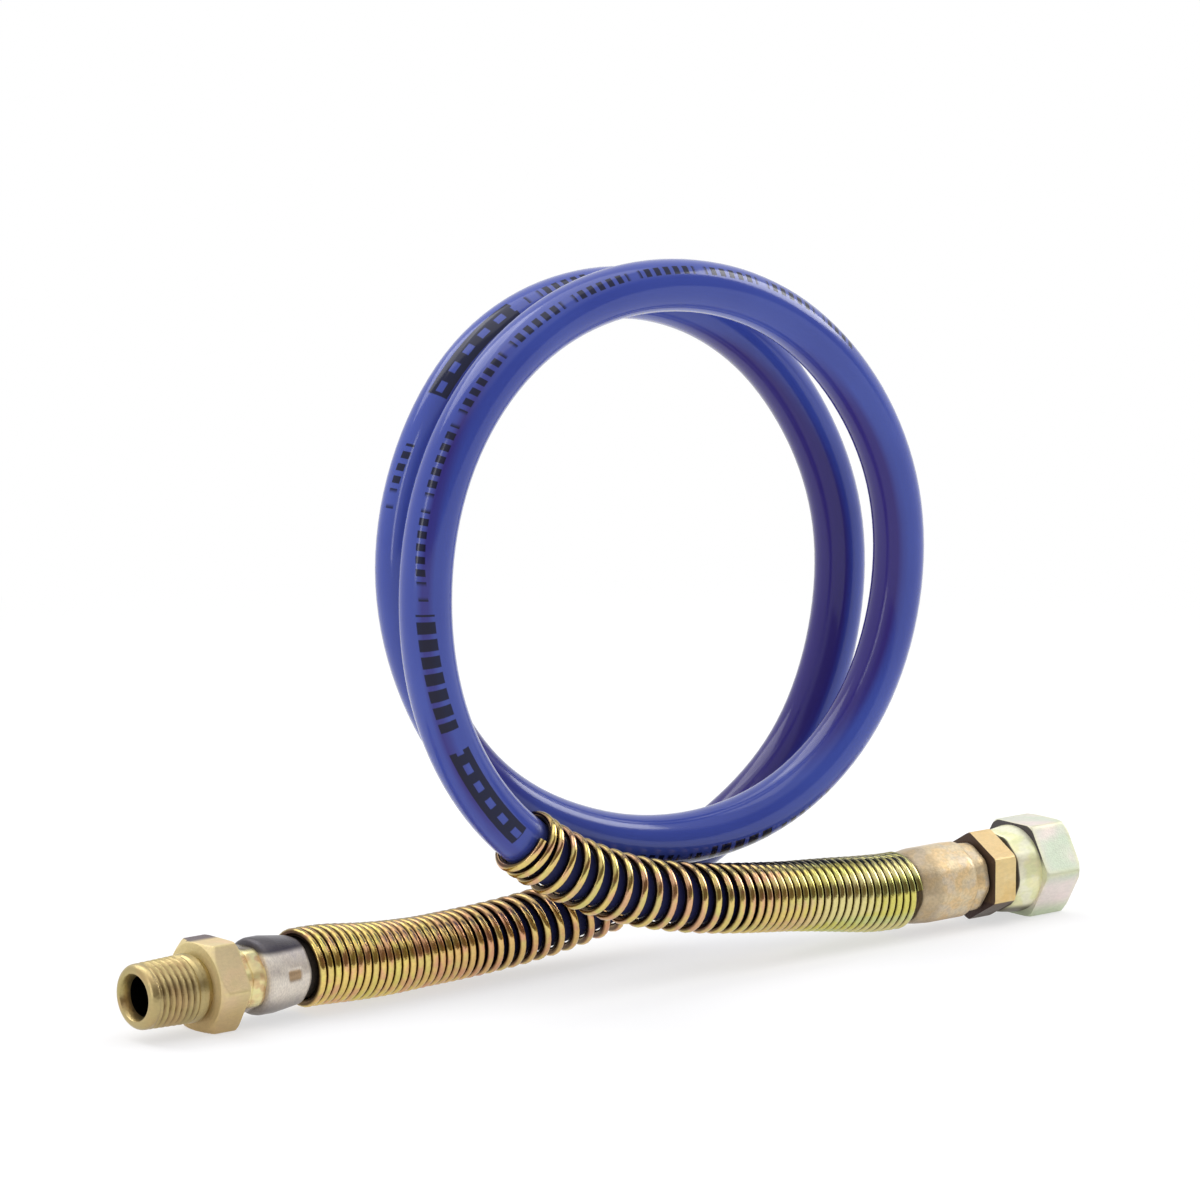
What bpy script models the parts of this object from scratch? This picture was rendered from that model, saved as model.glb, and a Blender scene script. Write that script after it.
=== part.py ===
"""Paint whip hose: a short high-pressure hose with a male pipe thread at one end, a swivel nut
at the other and a wire spring guard over each end. It stands in two upright turns, with both
fittings lying flat on the surface.

Metres, +Z up. Both fittings lie along X: the male end at -X, the swivel end at +X. The origin is
on the surface, under the middle of the fittings and guards.
"""

import math

import bmesh
import bpy
import numpy as np

# Hose
HOSE_OD = 0.0104
HOSE_SIDES = 3             # bevel resolution of the hose, ten sides
STEP_IN_GUARD = 0.008      # point spacing where a guard surrounds the hose
STEP_FREE = 0.0136         # point spacing along the free turns

# Clearances
GAP = 0.0003               # between two pieces that seat on each other
WIRE_GAP = 0.0002          # between a guard's wire and what it sits on

# Male end, lengths along the axis from the tip
MALE_THREAD_OD = 0.0137    # 1/4-18 NPT at its large end
MALE_THREAD_TAPER = 1 / 16
MALE_THREAD_LENGTH = 0.0135
MALE_NOSE_CHAMFER = 0.0012
MALE_RELIEF_OD = 0.0118    # plain neck between the thread and the hex
MALE_RELIEF_LENGTH = 0.0011
MALE_MOUTH_OD = 0.0090
MALE_BORE_OD = 0.0080
MALE_BORE_DEPTH = 0.0110
MALE_SEAT_DEPTH = 0.0009
MALE_HEX_FLATS = 0.01746
MALE_HEX_LENGTH = 0.0064
MALE_GROOVE_OD = 0.0112
MALE_GROOVE_LENGTH = 0.0012
MALE_COLLAR_OD = 0.0128
MALE_COLLAR_LENGTH = 0.0049
MALE_FERRULE_OD = 0.0154
MALE_FERRULE_END_OD = 0.0138
MALE_FERRULE_LENGTH = 0.0108
MALE_FERRULE = [
    (0, MALE_FERRULE_OD / 2 - 0.0007),
    (0.0009, MALE_FERRULE_OD / 2),
    (0.0050, MALE_FERRULE_OD / 2),
    (MALE_FERRULE_LENGTH, MALE_FERRULE_END_OD / 2),
]

# Swivel end
SWIVEL_FERRULE_OD = 0.0160
SWIVEL_FERRULE_END_OD = 0.0148
SWIVEL_FERRULE_LENGTH = 0.0187
BEAD_OD = 0.0142
BEAD_LENGTH = 0.0036
SWIVEL_FERRULE = [
    (0, BEAD_OD / 2 - 0.0005),
    (0.0006, BEAD_OD / 2),
    (BEAD_LENGTH - 0.0004, BEAD_OD / 2),
    (BEAD_LENGTH, SWIVEL_FERRULE_OD / 2 - 0.0002),
    (BEAD_LENGTH + 0.0006, SWIVEL_FERRULE_OD / 2),
    (SWIVEL_FERRULE_LENGTH - 0.0035, SWIVEL_FERRULE_OD / 2),
    (SWIVEL_FERRULE_LENGTH, SWIVEL_FERRULE_END_OD / 2),
]
SWIVEL_HEX_FLATS = 0.0160
SWIVEL_HEX_LENGTH = 0.0058
NECK_OD = 0.0094
FLANGE_OD = 0.0115
FLANGE_LENGTH = 0.0016
NOSE_LENGTH = 0.0040
NOSE_TIP_OD = 0.0066
NUT_RUNNING_GAP = 0.0008   # between the hex and the nut's collar
NUT_COLLAR_OD = 0.0179
NUT_COLLAR_LENGTH = 0.0056
NUT_LIP_LENGTH = 0.0030
NUT_FLATS = 0.01905
NUT_LENGTH = 0.0095
NUT_THREAD_OD = 0.0121     # bore of the 1/4 NPSM thread
NUT_MOUTH_OD = 0.0141

# Shared by both ends
THROUGH_BORE_OD = 0.0036
SPIGOT_OD = 0.0090
LIP_LENGTH = 0.0018        # the ferrule's end wall, closed over the spigot
TAIL_WALL = 0.0005
TAIL_LENGTH = 0.0055       # the part of a ferrule that lies inside the guard
HEX_CHAMFER = 0.0007
SEGMENTS = 32

# Spring guards
WIRE_OD = 0.00175
CLOSE_PITCH = 0.00190
OPEN_PITCH = 0.00405
END_PITCH = 0.00235
FLARED_TURNS = 4           # over the ferrule's tail
NARROWING_TURNS = 12       # from the tail's size down to the hose's
END_TURNS = 2
MALE_GUARD_TURNS = {"close": 20, "ramp": 10, "open": 5, "ease": 1.0}
SWIVEL_GUARD_TURNS = {"close": 20, "ramp": 7, "open": 10, "ease": 1.5}
POINTS_PER_TURN = 12
WIRE_SIDES = 1             # bevel resolution of the wire, six sides
MALE_WIRE_END_ANGLE = math.radians(188)  # behind the hose, out of sight
SWIVEL_WIRE_END_ANGLE = math.radians(8)

# Layout
TIP_TO_TIP = 0.2173        # from the male tip to the nut's open face, along X
AXIS_SPREAD = 0.0242       # between the two fittings' axes, along Y

MALE_HEX_RADIUS = MALE_HEX_FLATS / math.sqrt(3)
SWIVEL_HEX_RADIUS = SWIVEL_HEX_FLATS / math.sqrt(3)
NUT_RADIUS = NUT_FLATS / math.sqrt(3)

MALE_TIP_X = -TIP_TO_TIP / 2
MALE_HEX_X = MALE_TIP_X + MALE_THREAD_LENGTH + MALE_RELIEF_LENGTH
MALE_NECK_X = MALE_HEX_X + MALE_HEX_LENGTH
MALE_FERRULE_X = MALE_NECK_X + MALE_GROOVE_LENGTH + MALE_COLLAR_LENGTH + GAP
MALE_GUARD_X = MALE_FERRULE_X + MALE_FERRULE_LENGTH + GAP + WIRE_OD / 2
MALE_Y = (AXIS_SPREAD + NUT_RADIUS - MALE_HEX_RADIUS) / 2
MALE_Z = MALE_HEX_FLATS / 2

NUT_END_X = TIP_TO_TIP / 2
NUT_HEX_X = NUT_END_X - NUT_LENGTH
NUT_COLLAR_X = NUT_HEX_X - NUT_COLLAR_LENGTH
SWIVEL_HEX_END_X = NUT_COLLAR_X - NUT_RUNNING_GAP
SWIVEL_HEX_X = SWIVEL_HEX_END_X - SWIVEL_HEX_LENGTH
SWIVEL_FERRULE_X = SWIVEL_HEX_X - GAP
SWIVEL_GUARD_X = SWIVEL_FERRULE_X - SWIVEL_FERRULE_LENGTH - GAP - WIRE_OD / 2
SWIVEL_Y = MALE_Y - AXIS_SPREAD
SWIVEL_Z = NUT_FLATS / 2

# Route of the hose's centreline: straight out of each ferrule, and two turns between them
HOSE_START = (MALE_FERRULE_X + LIP_LENGTH + GAP, MALE_Y, MALE_Z)
HOSE_END = (SWIVEL_FERRULE_X - LIP_LENGTH - GAP, SWIVEL_Y, SWIVEL_Z)
HOSE_MIDDLE = [
    (-0.0560, 0.0125, 0.0081), (-0.0330, 0.0125, 0.0077), (-0.0083, 0.0128, 0.0089),
    (0.0165, 0.0126, 0.0134), (0.0398, 0.0123, 0.0222), (0.0597, 0.0121, 0.0375),
    (0.0699, 0.0116, 0.0597), (0.0701, 0.0111, 0.0842), (0.0596, 0.0106, 0.1066),
    (0.0421, 0.0091, 0.1234), (0.0203, 0.0076, 0.1335), (-0.0046, 0.0061, 0.1357),
    (-0.0277, 0.0051, 0.1278), (-0.0439, 0.0041, 0.1093), (-0.0496, 0.0036, 0.0852),
    (-0.0438, 0.0026, 0.0612), (-0.0290, 0.0016, 0.0417), (-0.0074, 0.0001, 0.0297),
    (0.0168, -0.0014, 0.0252), (0.0410, -0.0039, 0.0300), (0.0604, -0.0059, 0.0457),
    (0.0700, -0.0069, 0.0684), (0.0683, -0.0079, 0.0932), (0.0564, -0.0079, 0.1149),
    (0.0372, -0.0079, 0.1306), (0.0134, -0.0079, 0.1382), (-0.0113, -0.0079, 0.1371),
    (-0.0334, -0.0084, 0.1266), (-0.0487, -0.0089, 0.1072), (-0.0537, -0.0089, 0.0832),
    (-0.0497, -0.0094, 0.0587), (-0.0363, -0.0102, 0.0378), (-0.0160, -0.0109, 0.0239),
    (0.0072, -0.0112, 0.0164), (0.0300, -0.0115, 0.0130), (0.0500, -0.0116, 0.0108),
]
HOSE_MIDDLE_SPAN = 0.2173  # the tip to tip length that these points are laid out for
MALE_STRAIGHT = MALE_FERRULE_LENGTH + TAIL_LENGTH - LIP_LENGTH
SWIVEL_STRAIGHT = SWIVEL_FERRULE_LENGTH + TAIL_LENGTH - LIP_LENGTH

COLOURS = {
    "hose_blue": ((0.055, 0.075, 0.33, 1), 0.25, 0.0),
    "zinc_gold": ((0.58, 0.43, 0.17, 1), 0.30, 1.0),
    "zinc_yellow": ((0.70, 0.56, 0.20, 1), 0.30, 1.0),
    "zinc_pale": ((0.62, 0.66, 0.50, 1), 0.25, 1.0),
    "crimped_steel": ((0.42, 0.41, 0.42, 1), 0.40, 1.0),
}


class Route:
    """A smooth curve (natural cubic spline) through points, measured along its length."""

    def __init__(self, points):
        self.points = np.array(points, float)
        self.knots = self.measure(self.points)
        self.bends = self.solve_bends()
        self.marks = np.linspace(0, self.knots[-1], 6001)
        self.lengths = self.measure(self.at_mark(self.marks))
        self.length = self.lengths[-1]

    @staticmethod
    def measure(points):
        """Distance of each point from the first, along the straight runs between them."""
        runs = np.linalg.norm(np.diff(points, axis=0), axis=1)
        return np.concatenate([[0], np.cumsum(runs)])

    def solve_bends(self):
        """Second derivative at each point that makes the curve's slope and bend continuous."""
        count = len(self.points)
        gaps = np.diff(self.knots)
        slopes = np.diff(self.points, axis=0) / gaps[:, None]
        matrix = np.eye(count)
        target = np.zeros((count, 3))
        for i in range(1, count - 1):
            matrix[i, i - 1] = gaps[i - 1]
            matrix[i, i] = 2 * (gaps[i - 1] + gaps[i])
            matrix[i, i + 1] = gaps[i]
            target[i] = 6 * (slopes[i] - slopes[i - 1])
        return np.linalg.solve(matrix, target)

    def at_mark(self, marks):
        """Points of the curve at these knot values."""
        marks = np.atleast_1d(marks)
        i = np.clip(np.searchsorted(self.knots, marks) - 1, 0, len(self.knots) - 2)
        gap = (self.knots[i + 1] - self.knots[i])[:, None]
        after = (marks - self.knots[i])[:, None] / gap
        before = 1 - after
        return (
            before * self.points[i]
            + after * self.points[i + 1]
            + gap**2 / 6 * (before**3 - before) * self.bends[i]
            + gap**2 / 6 * (after**3 - after) * self.bends[i + 1]
        )

    def place(self, distance):
        """The point at this distance along the curve."""
        return self.at_mark(np.interp(distance, self.lengths, self.marks))[0]

    def heading(self, distance):
        """The direction of the curve at this distance."""
        near = 0.0005
        step = self.place(min(distance + near, self.length)) - self.place(max(distance - near, 0))
        return step / np.linalg.norm(step)


def clear_scene():
    for old in list(bpy.data.objects):
        bpy.data.objects.remove(old)
    for old in list(bpy.data.collections):
        bpy.data.collections.remove(old)


def new_collection(name):
    collection = bpy.data.collections.new(name)
    bpy.context.scene.collection.children.link(collection)
    return collection


def new_material(name):
    colour, roughness, metallic = COLOURS[name]
    material = bpy.data.materials.new(name)
    material.use_nodes = True
    shader = material.node_tree.nodes["Principled BSDF"]
    shader.inputs["Base Color"].default_value = colour
    shader.inputs["Roughness"].default_value = roughness
    shader.inputs["Metallic"].default_value = metallic
    return material


def turned(name, profile, axis, collection):
    """A turned shape: profile points (x, radius) along the axis, which runs along X at (y, z)."""
    mesh = bpy.data.meshes.new(name)
    points = [(radius, 0, x) for x, radius in reversed(profile)]
    closed = profile[0][1] > 0
    edges = [(i, i + 1) for i in range(len(points) - 1)]
    if closed:
        edges.append((len(points) - 1, 0))
    mesh.from_pydata(points, edges, [])
    piece = bpy.data.objects.new(name, mesh)
    collection.objects.link(piece)
    piece.location = (0, axis[0], axis[1])
    piece.rotation_euler = (0, math.radians(90), 0)
    screw = piece.modifiers.new("turn", "SCREW")
    screw.axis = "Z"
    screw.angle = 2 * math.pi
    screw.steps = SEGMENTS
    screw.render_steps = SEGMENTS
    screw.use_merge_vertices = True
    screw.merge_threshold = 0.00001
    return piece


def hexagon(name, start, length, flats, turn, axis, collection):
    """A hexagonal bar along X. With turn 0 a flat faces down, with 30 degrees a corner does."""
    mesh = bpy.data.meshes.new(name)
    shape = bmesh.new()
    bmesh.ops.create_cone(
        shape, cap_ends=True, segments=6, depth=length,
        radius1=flats / math.sqrt(3), radius2=flats / math.sqrt(3),
    )
    shape.to_mesh(mesh)
    shape.free()
    piece = bpy.data.objects.new(name, mesh)
    collection.objects.link(piece)
    piece.location = (start + length / 2, axis[0], axis[1])
    piece.rotation_mode = "ZYX"
    piece.rotation_euler = (turn, math.radians(90), 0)
    return piece


def boolean(piece, operation, other):
    change = piece.modifiers.new(other.name, "BOOLEAN")
    change.operation = operation
    change.solver = "EXACT"
    change.object = other
    other.hide_render = True
    other.display_type = "WIRE"


def chamfer_body(name, start, length, flats, axis, collection):
    """The turned body that takes the corners off a hexagon's two ends."""
    corner = flats / math.sqrt(3)
    spare = 0.001
    profile = [
        (start - spare, 0),
        (start - spare, flats / 2 - spare),
        (start, flats / 2),
        (start + HEX_CHAMFER, corner + spare / 10),
        (start + length - HEX_CHAMFER, corner + spare / 10),
        (start + length, flats / 2),
        (start + length + spare, flats / 2 - spare),
        (start + length + spare, 0),
    ]
    return turned(name, profile, axis, collection)


def chamfered_hexagon(name, start, length, flats, turn, axis, collection, cutters):
    bar = hexagon(name, start, length, flats, turn, axis, collection)
    boolean(bar, "INTERSECT", chamfer_body(name + "_chamfer", start, length, flats, axis, cutters))
    return bar


def evenly(start, end, step):
    """Distances from start up to, not including, end."""
    return list(np.linspace(start, end, math.ceil((end - start) / step) + 1)[:-1])


def make_hose(route, male_end, swivel_end, parts):
    """The hose: one tube along the route, with closer points inside the two guards."""
    distances = evenly(0, male_end, STEP_IN_GUARD)
    distances += evenly(male_end, swivel_end, STEP_FREE)
    distances += evenly(swivel_end, route.length, STEP_IN_GUARD)
    distances.append(route.length)
    return wire("hose", [route.place(d) for d in distances], HOSE_OD, HOSE_SIDES, parts)


def wire(name, points, diameter, resolution, collection):
    """A round bar with closed ends along a list of points."""
    curve = bpy.data.curves.new(name, "CURVE")
    curve.dimensions = "3D"
    curve.bevel_depth = diameter / 2
    curve.bevel_resolution = resolution
    curve.use_fill_caps = True
    spline = curve.splines.new("POLY")
    spline.points.add(len(points) - 1)
    for target, point in zip(spline.points, points):
        target.co = (*point, 1)
    piece = bpy.data.objects.new(name, curve)
    collection.objects.link(piece)
    return piece


def guard_pitches(turns):
    """The advance of each turn of a guard, from the ferrule to its end on the hose."""
    pitches = [CLOSE_PITCH] * turns["close"]
    for i in range(turns["ramp"]):
        share = ((i + 1) / (turns["ramp"] + 1)) ** turns["ease"]
        pitches.append(CLOSE_PITCH + (OPEN_PITCH - CLOSE_PITCH) * share)
    return pitches + [OPEN_PITCH] * turns["open"] + [END_PITCH] * END_TURNS


def guard_radii():
    """Radius of the wire's centreline on the hose and over the ferrule's tail.

    The wire is made of straight runs, so its points lie outside the true circle and the middle of
    each run keeps the gap."""
    outside = math.cos(math.pi / POINTS_PER_TURN)
    on_hose = (HOSE_OD / 2 + WIRE_GAP + WIRE_OD / 2) / outside
    on_tail = (HOSE_OD / 2 + GAP + TAIL_WALL + WIRE_GAP + WIRE_OD / 2) / outside
    return on_hose, on_tail


def make_guard(name, route, seat, away, turns, end_angle, parts):
    """A spring guard: wire wound right-handed around the route, from the ferrule outwards."""
    pitches = guard_pitches(turns)
    advance = np.concatenate([[0], np.cumsum(pitches)])
    on_hose, on_tail = guard_radii()
    points = []
    for k in range(len(pitches) * POINTS_PER_TURN + 1):
        turn = k / POINTS_PER_TURN
        distance = seat + away * np.interp(turn, range(len(advance)), advance)
        centre = route.place(distance)
        ahead = route.heading(distance)
        side = np.cross(ahead, (0, 0, 1))
        side /= np.linalg.norm(side)
        up = np.cross(side, ahead)
        angle = end_angle - away * 2 * math.pi * turn
        narrowing = min(max((turn - FLARED_TURNS) / NARROWING_TURNS, 0), 1)
        radius = on_tail + (on_hose - on_tail) * narrowing
        points.append(centre + radius * (math.cos(angle) * side + math.sin(angle) * up))
    return wire(name, points, WIRE_OD, WIRE_SIDES, parts)


def make_ferrule(name, start, into_hose, barrel, axis, parts):
    """A crimped sleeve: end wall over the spigot, barrel, and a thin tail under the guard.

    barrel is a list of (distance from the fitting, radius), and into_hose is 1 or -1."""
    length = barrel[-1][0]
    bore = HOSE_OD / 2 + GAP
    hole = SPIGOT_OD / 2 + GAP
    tail = bore + TAIL_WALL
    outer = barrel + [(length, tail), (length + TAIL_LENGTH, tail)]
    inner = [(length + TAIL_LENGTH, bore), (LIP_LENGTH, bore), (LIP_LENGTH, hole), (0, hole)]
    profile = [(start + into_hose * d, r) for d, r in outer + inner]
    if into_hose < 0:
        profile.reverse()
    return turned(name, profile, axis, parts)


def make_male_insert(parts, cutters):
    """The male end's body: tapered pipe thread, hexagon, grooved neck, collar and spigot."""
    axis = (MALE_Y, MALE_Z)
    tip = MALE_TIP_X
    root = tip + MALE_THREAD_LENGTH
    large = MALE_THREAD_OD / 2
    small = large - MALE_THREAD_TAPER * (MALE_THREAD_LENGTH - MALE_NOSE_CHAMFER) / 2
    collar = MALE_NECK_X + MALE_GROOVE_LENGTH
    spigot = MALE_FERRULE_X - GAP
    profile = [
        (tip, 0),
        (tip, small - MALE_NOSE_CHAMFER),
        (tip + MALE_NOSE_CHAMFER, small),
        (root, large),
        (root + GAP, MALE_RELIEF_OD / 2),
        (MALE_HEX_X + HEX_CHAMFER, MALE_RELIEF_OD / 2),
        (MALE_HEX_X + HEX_CHAMFER, MALE_GROOVE_OD / 2),
        (collar, MALE_GROOVE_OD / 2),
        (collar, MALE_COLLAR_OD / 2),
        (spigot, MALE_COLLAR_OD / 2),
        (spigot, SPIGOT_OD / 2),
        (HOSE_START[0] - GAP, SPIGOT_OD / 2),
        (HOSE_START[0] - GAP, 0),
    ]
    body = turned("male_insert", profile, axis, parts)
    hexagon_bar = chamfered_hexagon(
        "male_hex", MALE_HEX_X, MALE_HEX_LENGTH, MALE_HEX_FLATS, 0, axis, cutters, cutters
    )
    boolean(body, "UNION", hexagon_bar)
    spare = 0.001
    bore = [
        (tip - spare, 0),
        (tip - spare, MALE_MOUTH_OD / 2),
        (tip, MALE_MOUTH_OD / 2),
        (tip + MALE_SEAT_DEPTH, MALE_BORE_OD / 2),
        (tip + MALE_BORE_DEPTH, MALE_BORE_OD / 2),
        (tip + MALE_BORE_DEPTH + (MALE_BORE_OD - THROUGH_BORE_OD) / 2, THROUGH_BORE_OD / 2),
        (HOSE_START[0] + spare, THROUGH_BORE_OD / 2),
        (HOSE_START[0] + spare, 0),
    ]
    boolean(body, "DIFFERENCE", turned("male_bore", bore, axis, cutters))
    return body


def make_swivel_insert(parts, cutters):
    """The swivel end's body: spigot, hexagon, neck, flange that holds the nut, and cone nose."""
    axis = (SWIVEL_Y, SWIVEL_Z)
    flange = NUT_COLLAR_X + NUT_LIP_LENGTH + GAP
    nose = flange + FLANGE_LENGTH
    profile = [
        (HOSE_END[0] + GAP, 0),
        (HOSE_END[0] + GAP, SPIGOT_OD / 2),
        (SWIVEL_HEX_X + HEX_CHAMFER, SPIGOT_OD / 2),
        (SWIVEL_HEX_X + HEX_CHAMFER, NECK_OD / 2),
        (flange, NECK_OD / 2),
        (flange, FLANGE_OD / 2),
        (nose, FLANGE_OD / 2),
        (nose + NOSE_LENGTH, NOSE_TIP_OD / 2),
        (nose + NOSE_LENGTH, 0),
    ]
    body = turned("swivel_insert", profile, axis, parts)
    hexagon_bar = chamfered_hexagon(
        "swivel_hex", SWIVEL_HEX_X, SWIVEL_HEX_LENGTH, SWIVEL_HEX_FLATS, math.radians(30),
        axis, cutters, cutters,
    )
    boolean(body, "UNION", hexagon_bar)
    spare = 0.001
    bore = [
        (HOSE_END[0] - spare, 0),
        (HOSE_END[0] - spare, THROUGH_BORE_OD / 2),
        (nose + NOSE_LENGTH + spare, THROUGH_BORE_OD / 2),
        (nose + NOSE_LENGTH + spare, 0),
    ]
    boolean(body, "DIFFERENCE", turned("swivel_bore", bore, axis, cutters))
    return body


def make_swivel_nut(parts, cutters):
    """The swivel nut: hexagon, round collar, lip behind the flange, and threaded bore."""
    axis = (SWIVEL_Y, SWIVEL_Z)
    body = chamfered_hexagon(
        "swivel_nut", NUT_HEX_X, NUT_LENGTH, NUT_FLATS, 0, axis, parts, cutters
    )
    rounding = 0.0008
    collar = [
        (NUT_COLLAR_X, 0),
        (NUT_COLLAR_X, NUT_COLLAR_OD / 2 - rounding),
        (NUT_COLLAR_X + rounding, NUT_COLLAR_OD / 2),
        (NUT_HEX_X + HEX_CHAMFER, NUT_COLLAR_OD / 2),
        (NUT_HEX_X + HEX_CHAMFER, 0),
    ]
    boolean(body, "UNION", turned("nut_collar", collar, axis, cutters))
    spare = 0.001
    lip = NUT_COLLAR_X + NUT_LIP_LENGTH
    mouth = (NUT_MOUTH_OD - NUT_THREAD_OD) / 2
    bore = [
        (NUT_COLLAR_X - spare, 0),
        (NUT_COLLAR_X - spare, NECK_OD / 2 + GAP),
        (lip, NECK_OD / 2 + GAP),
        (lip, NUT_THREAD_OD / 2),
        (NUT_END_X - mouth, NUT_THREAD_OD / 2),
        (NUT_END_X, NUT_MOUTH_OD / 2),
        (NUT_END_X + spare, NUT_MOUTH_OD / 2),
        (NUT_END_X + spare, 0),
    ]
    boolean(body, "DIFFERENCE", turned("nut_bore", bore, axis, cutters))
    return body


def hose_route():
    """The hose's centreline, kept on each fitting's axis as far as its ferrule's tail reaches."""
    shares = (0, 0.5, 1)
    start = [(HOSE_START[0] + MALE_STRAIGHT * k, MALE_Y, MALE_Z) for k in shares]
    end = [(HOSE_END[0] - SWIVEL_STRAIGHT * k, SWIVEL_Y, SWIVEL_Z) for k in reversed(shares)]
    stretch = TIP_TO_TIP / HOSE_MIDDLE_SPAN
    return Route(start + [(x * stretch, y, z) for x, y, z in HOSE_MIDDLE] + end)


def build():
    clear_scene()
    parts = new_collection("paint_whip_hose")
    cutters = new_collection("cutters")
    materials = {name: new_material(name) for name in COLOURS}

    route = hose_route()
    male_seat = MALE_GUARD_X - HOSE_START[0]
    male_end = male_seat + sum(guard_pitches(MALE_GUARD_TURNS))
    swivel_seat = route.length - (HOSE_END[0] - SWIVEL_GUARD_X)
    swivel_end = swivel_seat - sum(guard_pitches(SWIVEL_GUARD_TURNS))

    pieces = {
        make_male_insert(parts, cutters): "zinc_gold",
        make_ferrule(
            "male_ferrule", MALE_FERRULE_X, 1, MALE_FERRULE, (MALE_Y, MALE_Z), parts
        ): "crimped_steel",
        make_guard(
            "male_spring_guard", route, male_seat, 1, MALE_GUARD_TURNS, MALE_WIRE_END_ANGLE,
            parts,
        ): "zinc_yellow",
        make_hose(route, male_end, swivel_end, parts): "hose_blue",
        make_guard(
            "swivel_spring_guard", route, swivel_seat, -1, SWIVEL_GUARD_TURNS,
            SWIVEL_WIRE_END_ANGLE, parts,
        ): "zinc_yellow",
        make_ferrule(
            "swivel_ferrule", SWIVEL_FERRULE_X, -1, SWIVEL_FERRULE, (SWIVEL_Y, SWIVEL_Z), parts
        ): "crimped_steel",
        make_swivel_insert(parts, cutters): "zinc_gold",
        make_swivel_nut(parts, cutters): "zinc_pale",
    }
    for piece, material in pieces.items():
        piece.data.materials.append(materials[material])


build()
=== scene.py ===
"""Looks of the paint whip hose: a blue cover, plated fittings and wire spring guards.

Metres, +Z up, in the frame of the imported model. The hose's route and the sizes repeat those of
the part's source.
"""

import math

import bmesh
import bpy
import numpy as np
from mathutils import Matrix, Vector


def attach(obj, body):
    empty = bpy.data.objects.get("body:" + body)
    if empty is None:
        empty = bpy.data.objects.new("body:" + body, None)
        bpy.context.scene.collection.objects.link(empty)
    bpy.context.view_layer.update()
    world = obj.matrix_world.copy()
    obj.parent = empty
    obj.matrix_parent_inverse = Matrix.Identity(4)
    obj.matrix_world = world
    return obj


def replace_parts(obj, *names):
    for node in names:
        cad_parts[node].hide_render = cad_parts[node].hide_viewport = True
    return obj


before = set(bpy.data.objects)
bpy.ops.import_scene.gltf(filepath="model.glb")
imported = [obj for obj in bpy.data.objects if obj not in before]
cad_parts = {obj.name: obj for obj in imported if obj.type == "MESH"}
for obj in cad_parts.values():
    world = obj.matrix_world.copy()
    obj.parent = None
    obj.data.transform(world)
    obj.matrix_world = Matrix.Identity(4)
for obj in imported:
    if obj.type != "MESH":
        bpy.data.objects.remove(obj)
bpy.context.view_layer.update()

BODY = "hose_assembly"

# Hose and its route
HOSE_OD = 0.0104
HOSE_SIDES = 28
HOSE_RING_GAP = 0.0028
MALE_Y = 0.012559
MALE_Z = 0.00873
SWIVEL_Y = -0.011641
SWIVEL_Z = 0.009525
MALE_AXIS = (MALE_Y, MALE_Z)
SWIVEL_AXIS = (SWIVEL_Y, SWIVEL_Z)
HOSE_START_X = -0.07915
HOSE_END_X = 0.08455
MALE_STRAIGHT = 0.0145
SWIVEL_STRAIGHT = 0.0224
ROUTE_MARKS = 6001
HOSE_MIDDLE = [
    (-0.0560, 0.0125, 0.0081), (-0.0330, 0.0125, 0.0077), (-0.0083, 0.0128, 0.0089),
    (0.0165, 0.0126, 0.0134), (0.0398, 0.0123, 0.0222), (0.0597, 0.0121, 0.0375),
    (0.0699, 0.0116, 0.0597), (0.0701, 0.0111, 0.0842), (0.0596, 0.0106, 0.1066),
    (0.0421, 0.0091, 0.1234), (0.0203, 0.0076, 0.1335), (-0.0046, 0.0061, 0.1357),
    (-0.0277, 0.0051, 0.1278), (-0.0439, 0.0041, 0.1093), (-0.0496, 0.0036, 0.0852),
    (-0.0438, 0.0026, 0.0612), (-0.0290, 0.0016, 0.0417), (-0.0074, 0.0001, 0.0297),
    (0.0168, -0.0014, 0.0252), (0.0410, -0.0039, 0.0300), (0.0604, -0.0059, 0.0457),
    (0.0700, -0.0069, 0.0684), (0.0683, -0.0079, 0.0932), (0.0564, -0.0079, 0.1149),
    (0.0372, -0.0079, 0.1306), (0.0134, -0.0079, 0.1382), (-0.0113, -0.0079, 0.1371),
    (-0.0334, -0.0084, 0.1266), (-0.0487, -0.0089, 0.1072), (-0.0537, -0.0089, 0.0832),
    (-0.0497, -0.0094, 0.0587), (-0.0363, -0.0102, 0.0378), (-0.0160, -0.0109, 0.0239),
    (0.0072, -0.0112, 0.0164), (0.0300, -0.0115, 0.0130), (0.0500, -0.0116, 0.0108),
]

# Spring guards
WIRE_OD = 0.00175
WIRE_GAP = 0.0002
WIRE_SIDES = 12
TAIL_RADIUS = 0.0060
CLOSE_PITCH = 0.00190
OPEN_PITCH = 0.00405
END_PITCH = 0.00235
FLARED_TURNS = 4
NARROWING_TURNS = 12
END_TURNS = 2
MALE_WIRE_END_ANGLE = math.radians(188)
SWIVEL_WIRE_END_ANGLE = math.radians(8)
COIL_STEPS = 32
COIL_ROUTE_POINTS = 1200
MALE_GUARD_TURNS = {"close": 20, "ramp": 10, "open": 5, "ease": 1.0}
SWIVEL_GUARD_TURNS = {"close": 20, "ramp": 7, "open": 10, "ease": 1.5}
MALE_GUARD_X = -0.069275
SWIVEL_GUARD_X = 0.066775

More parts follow.
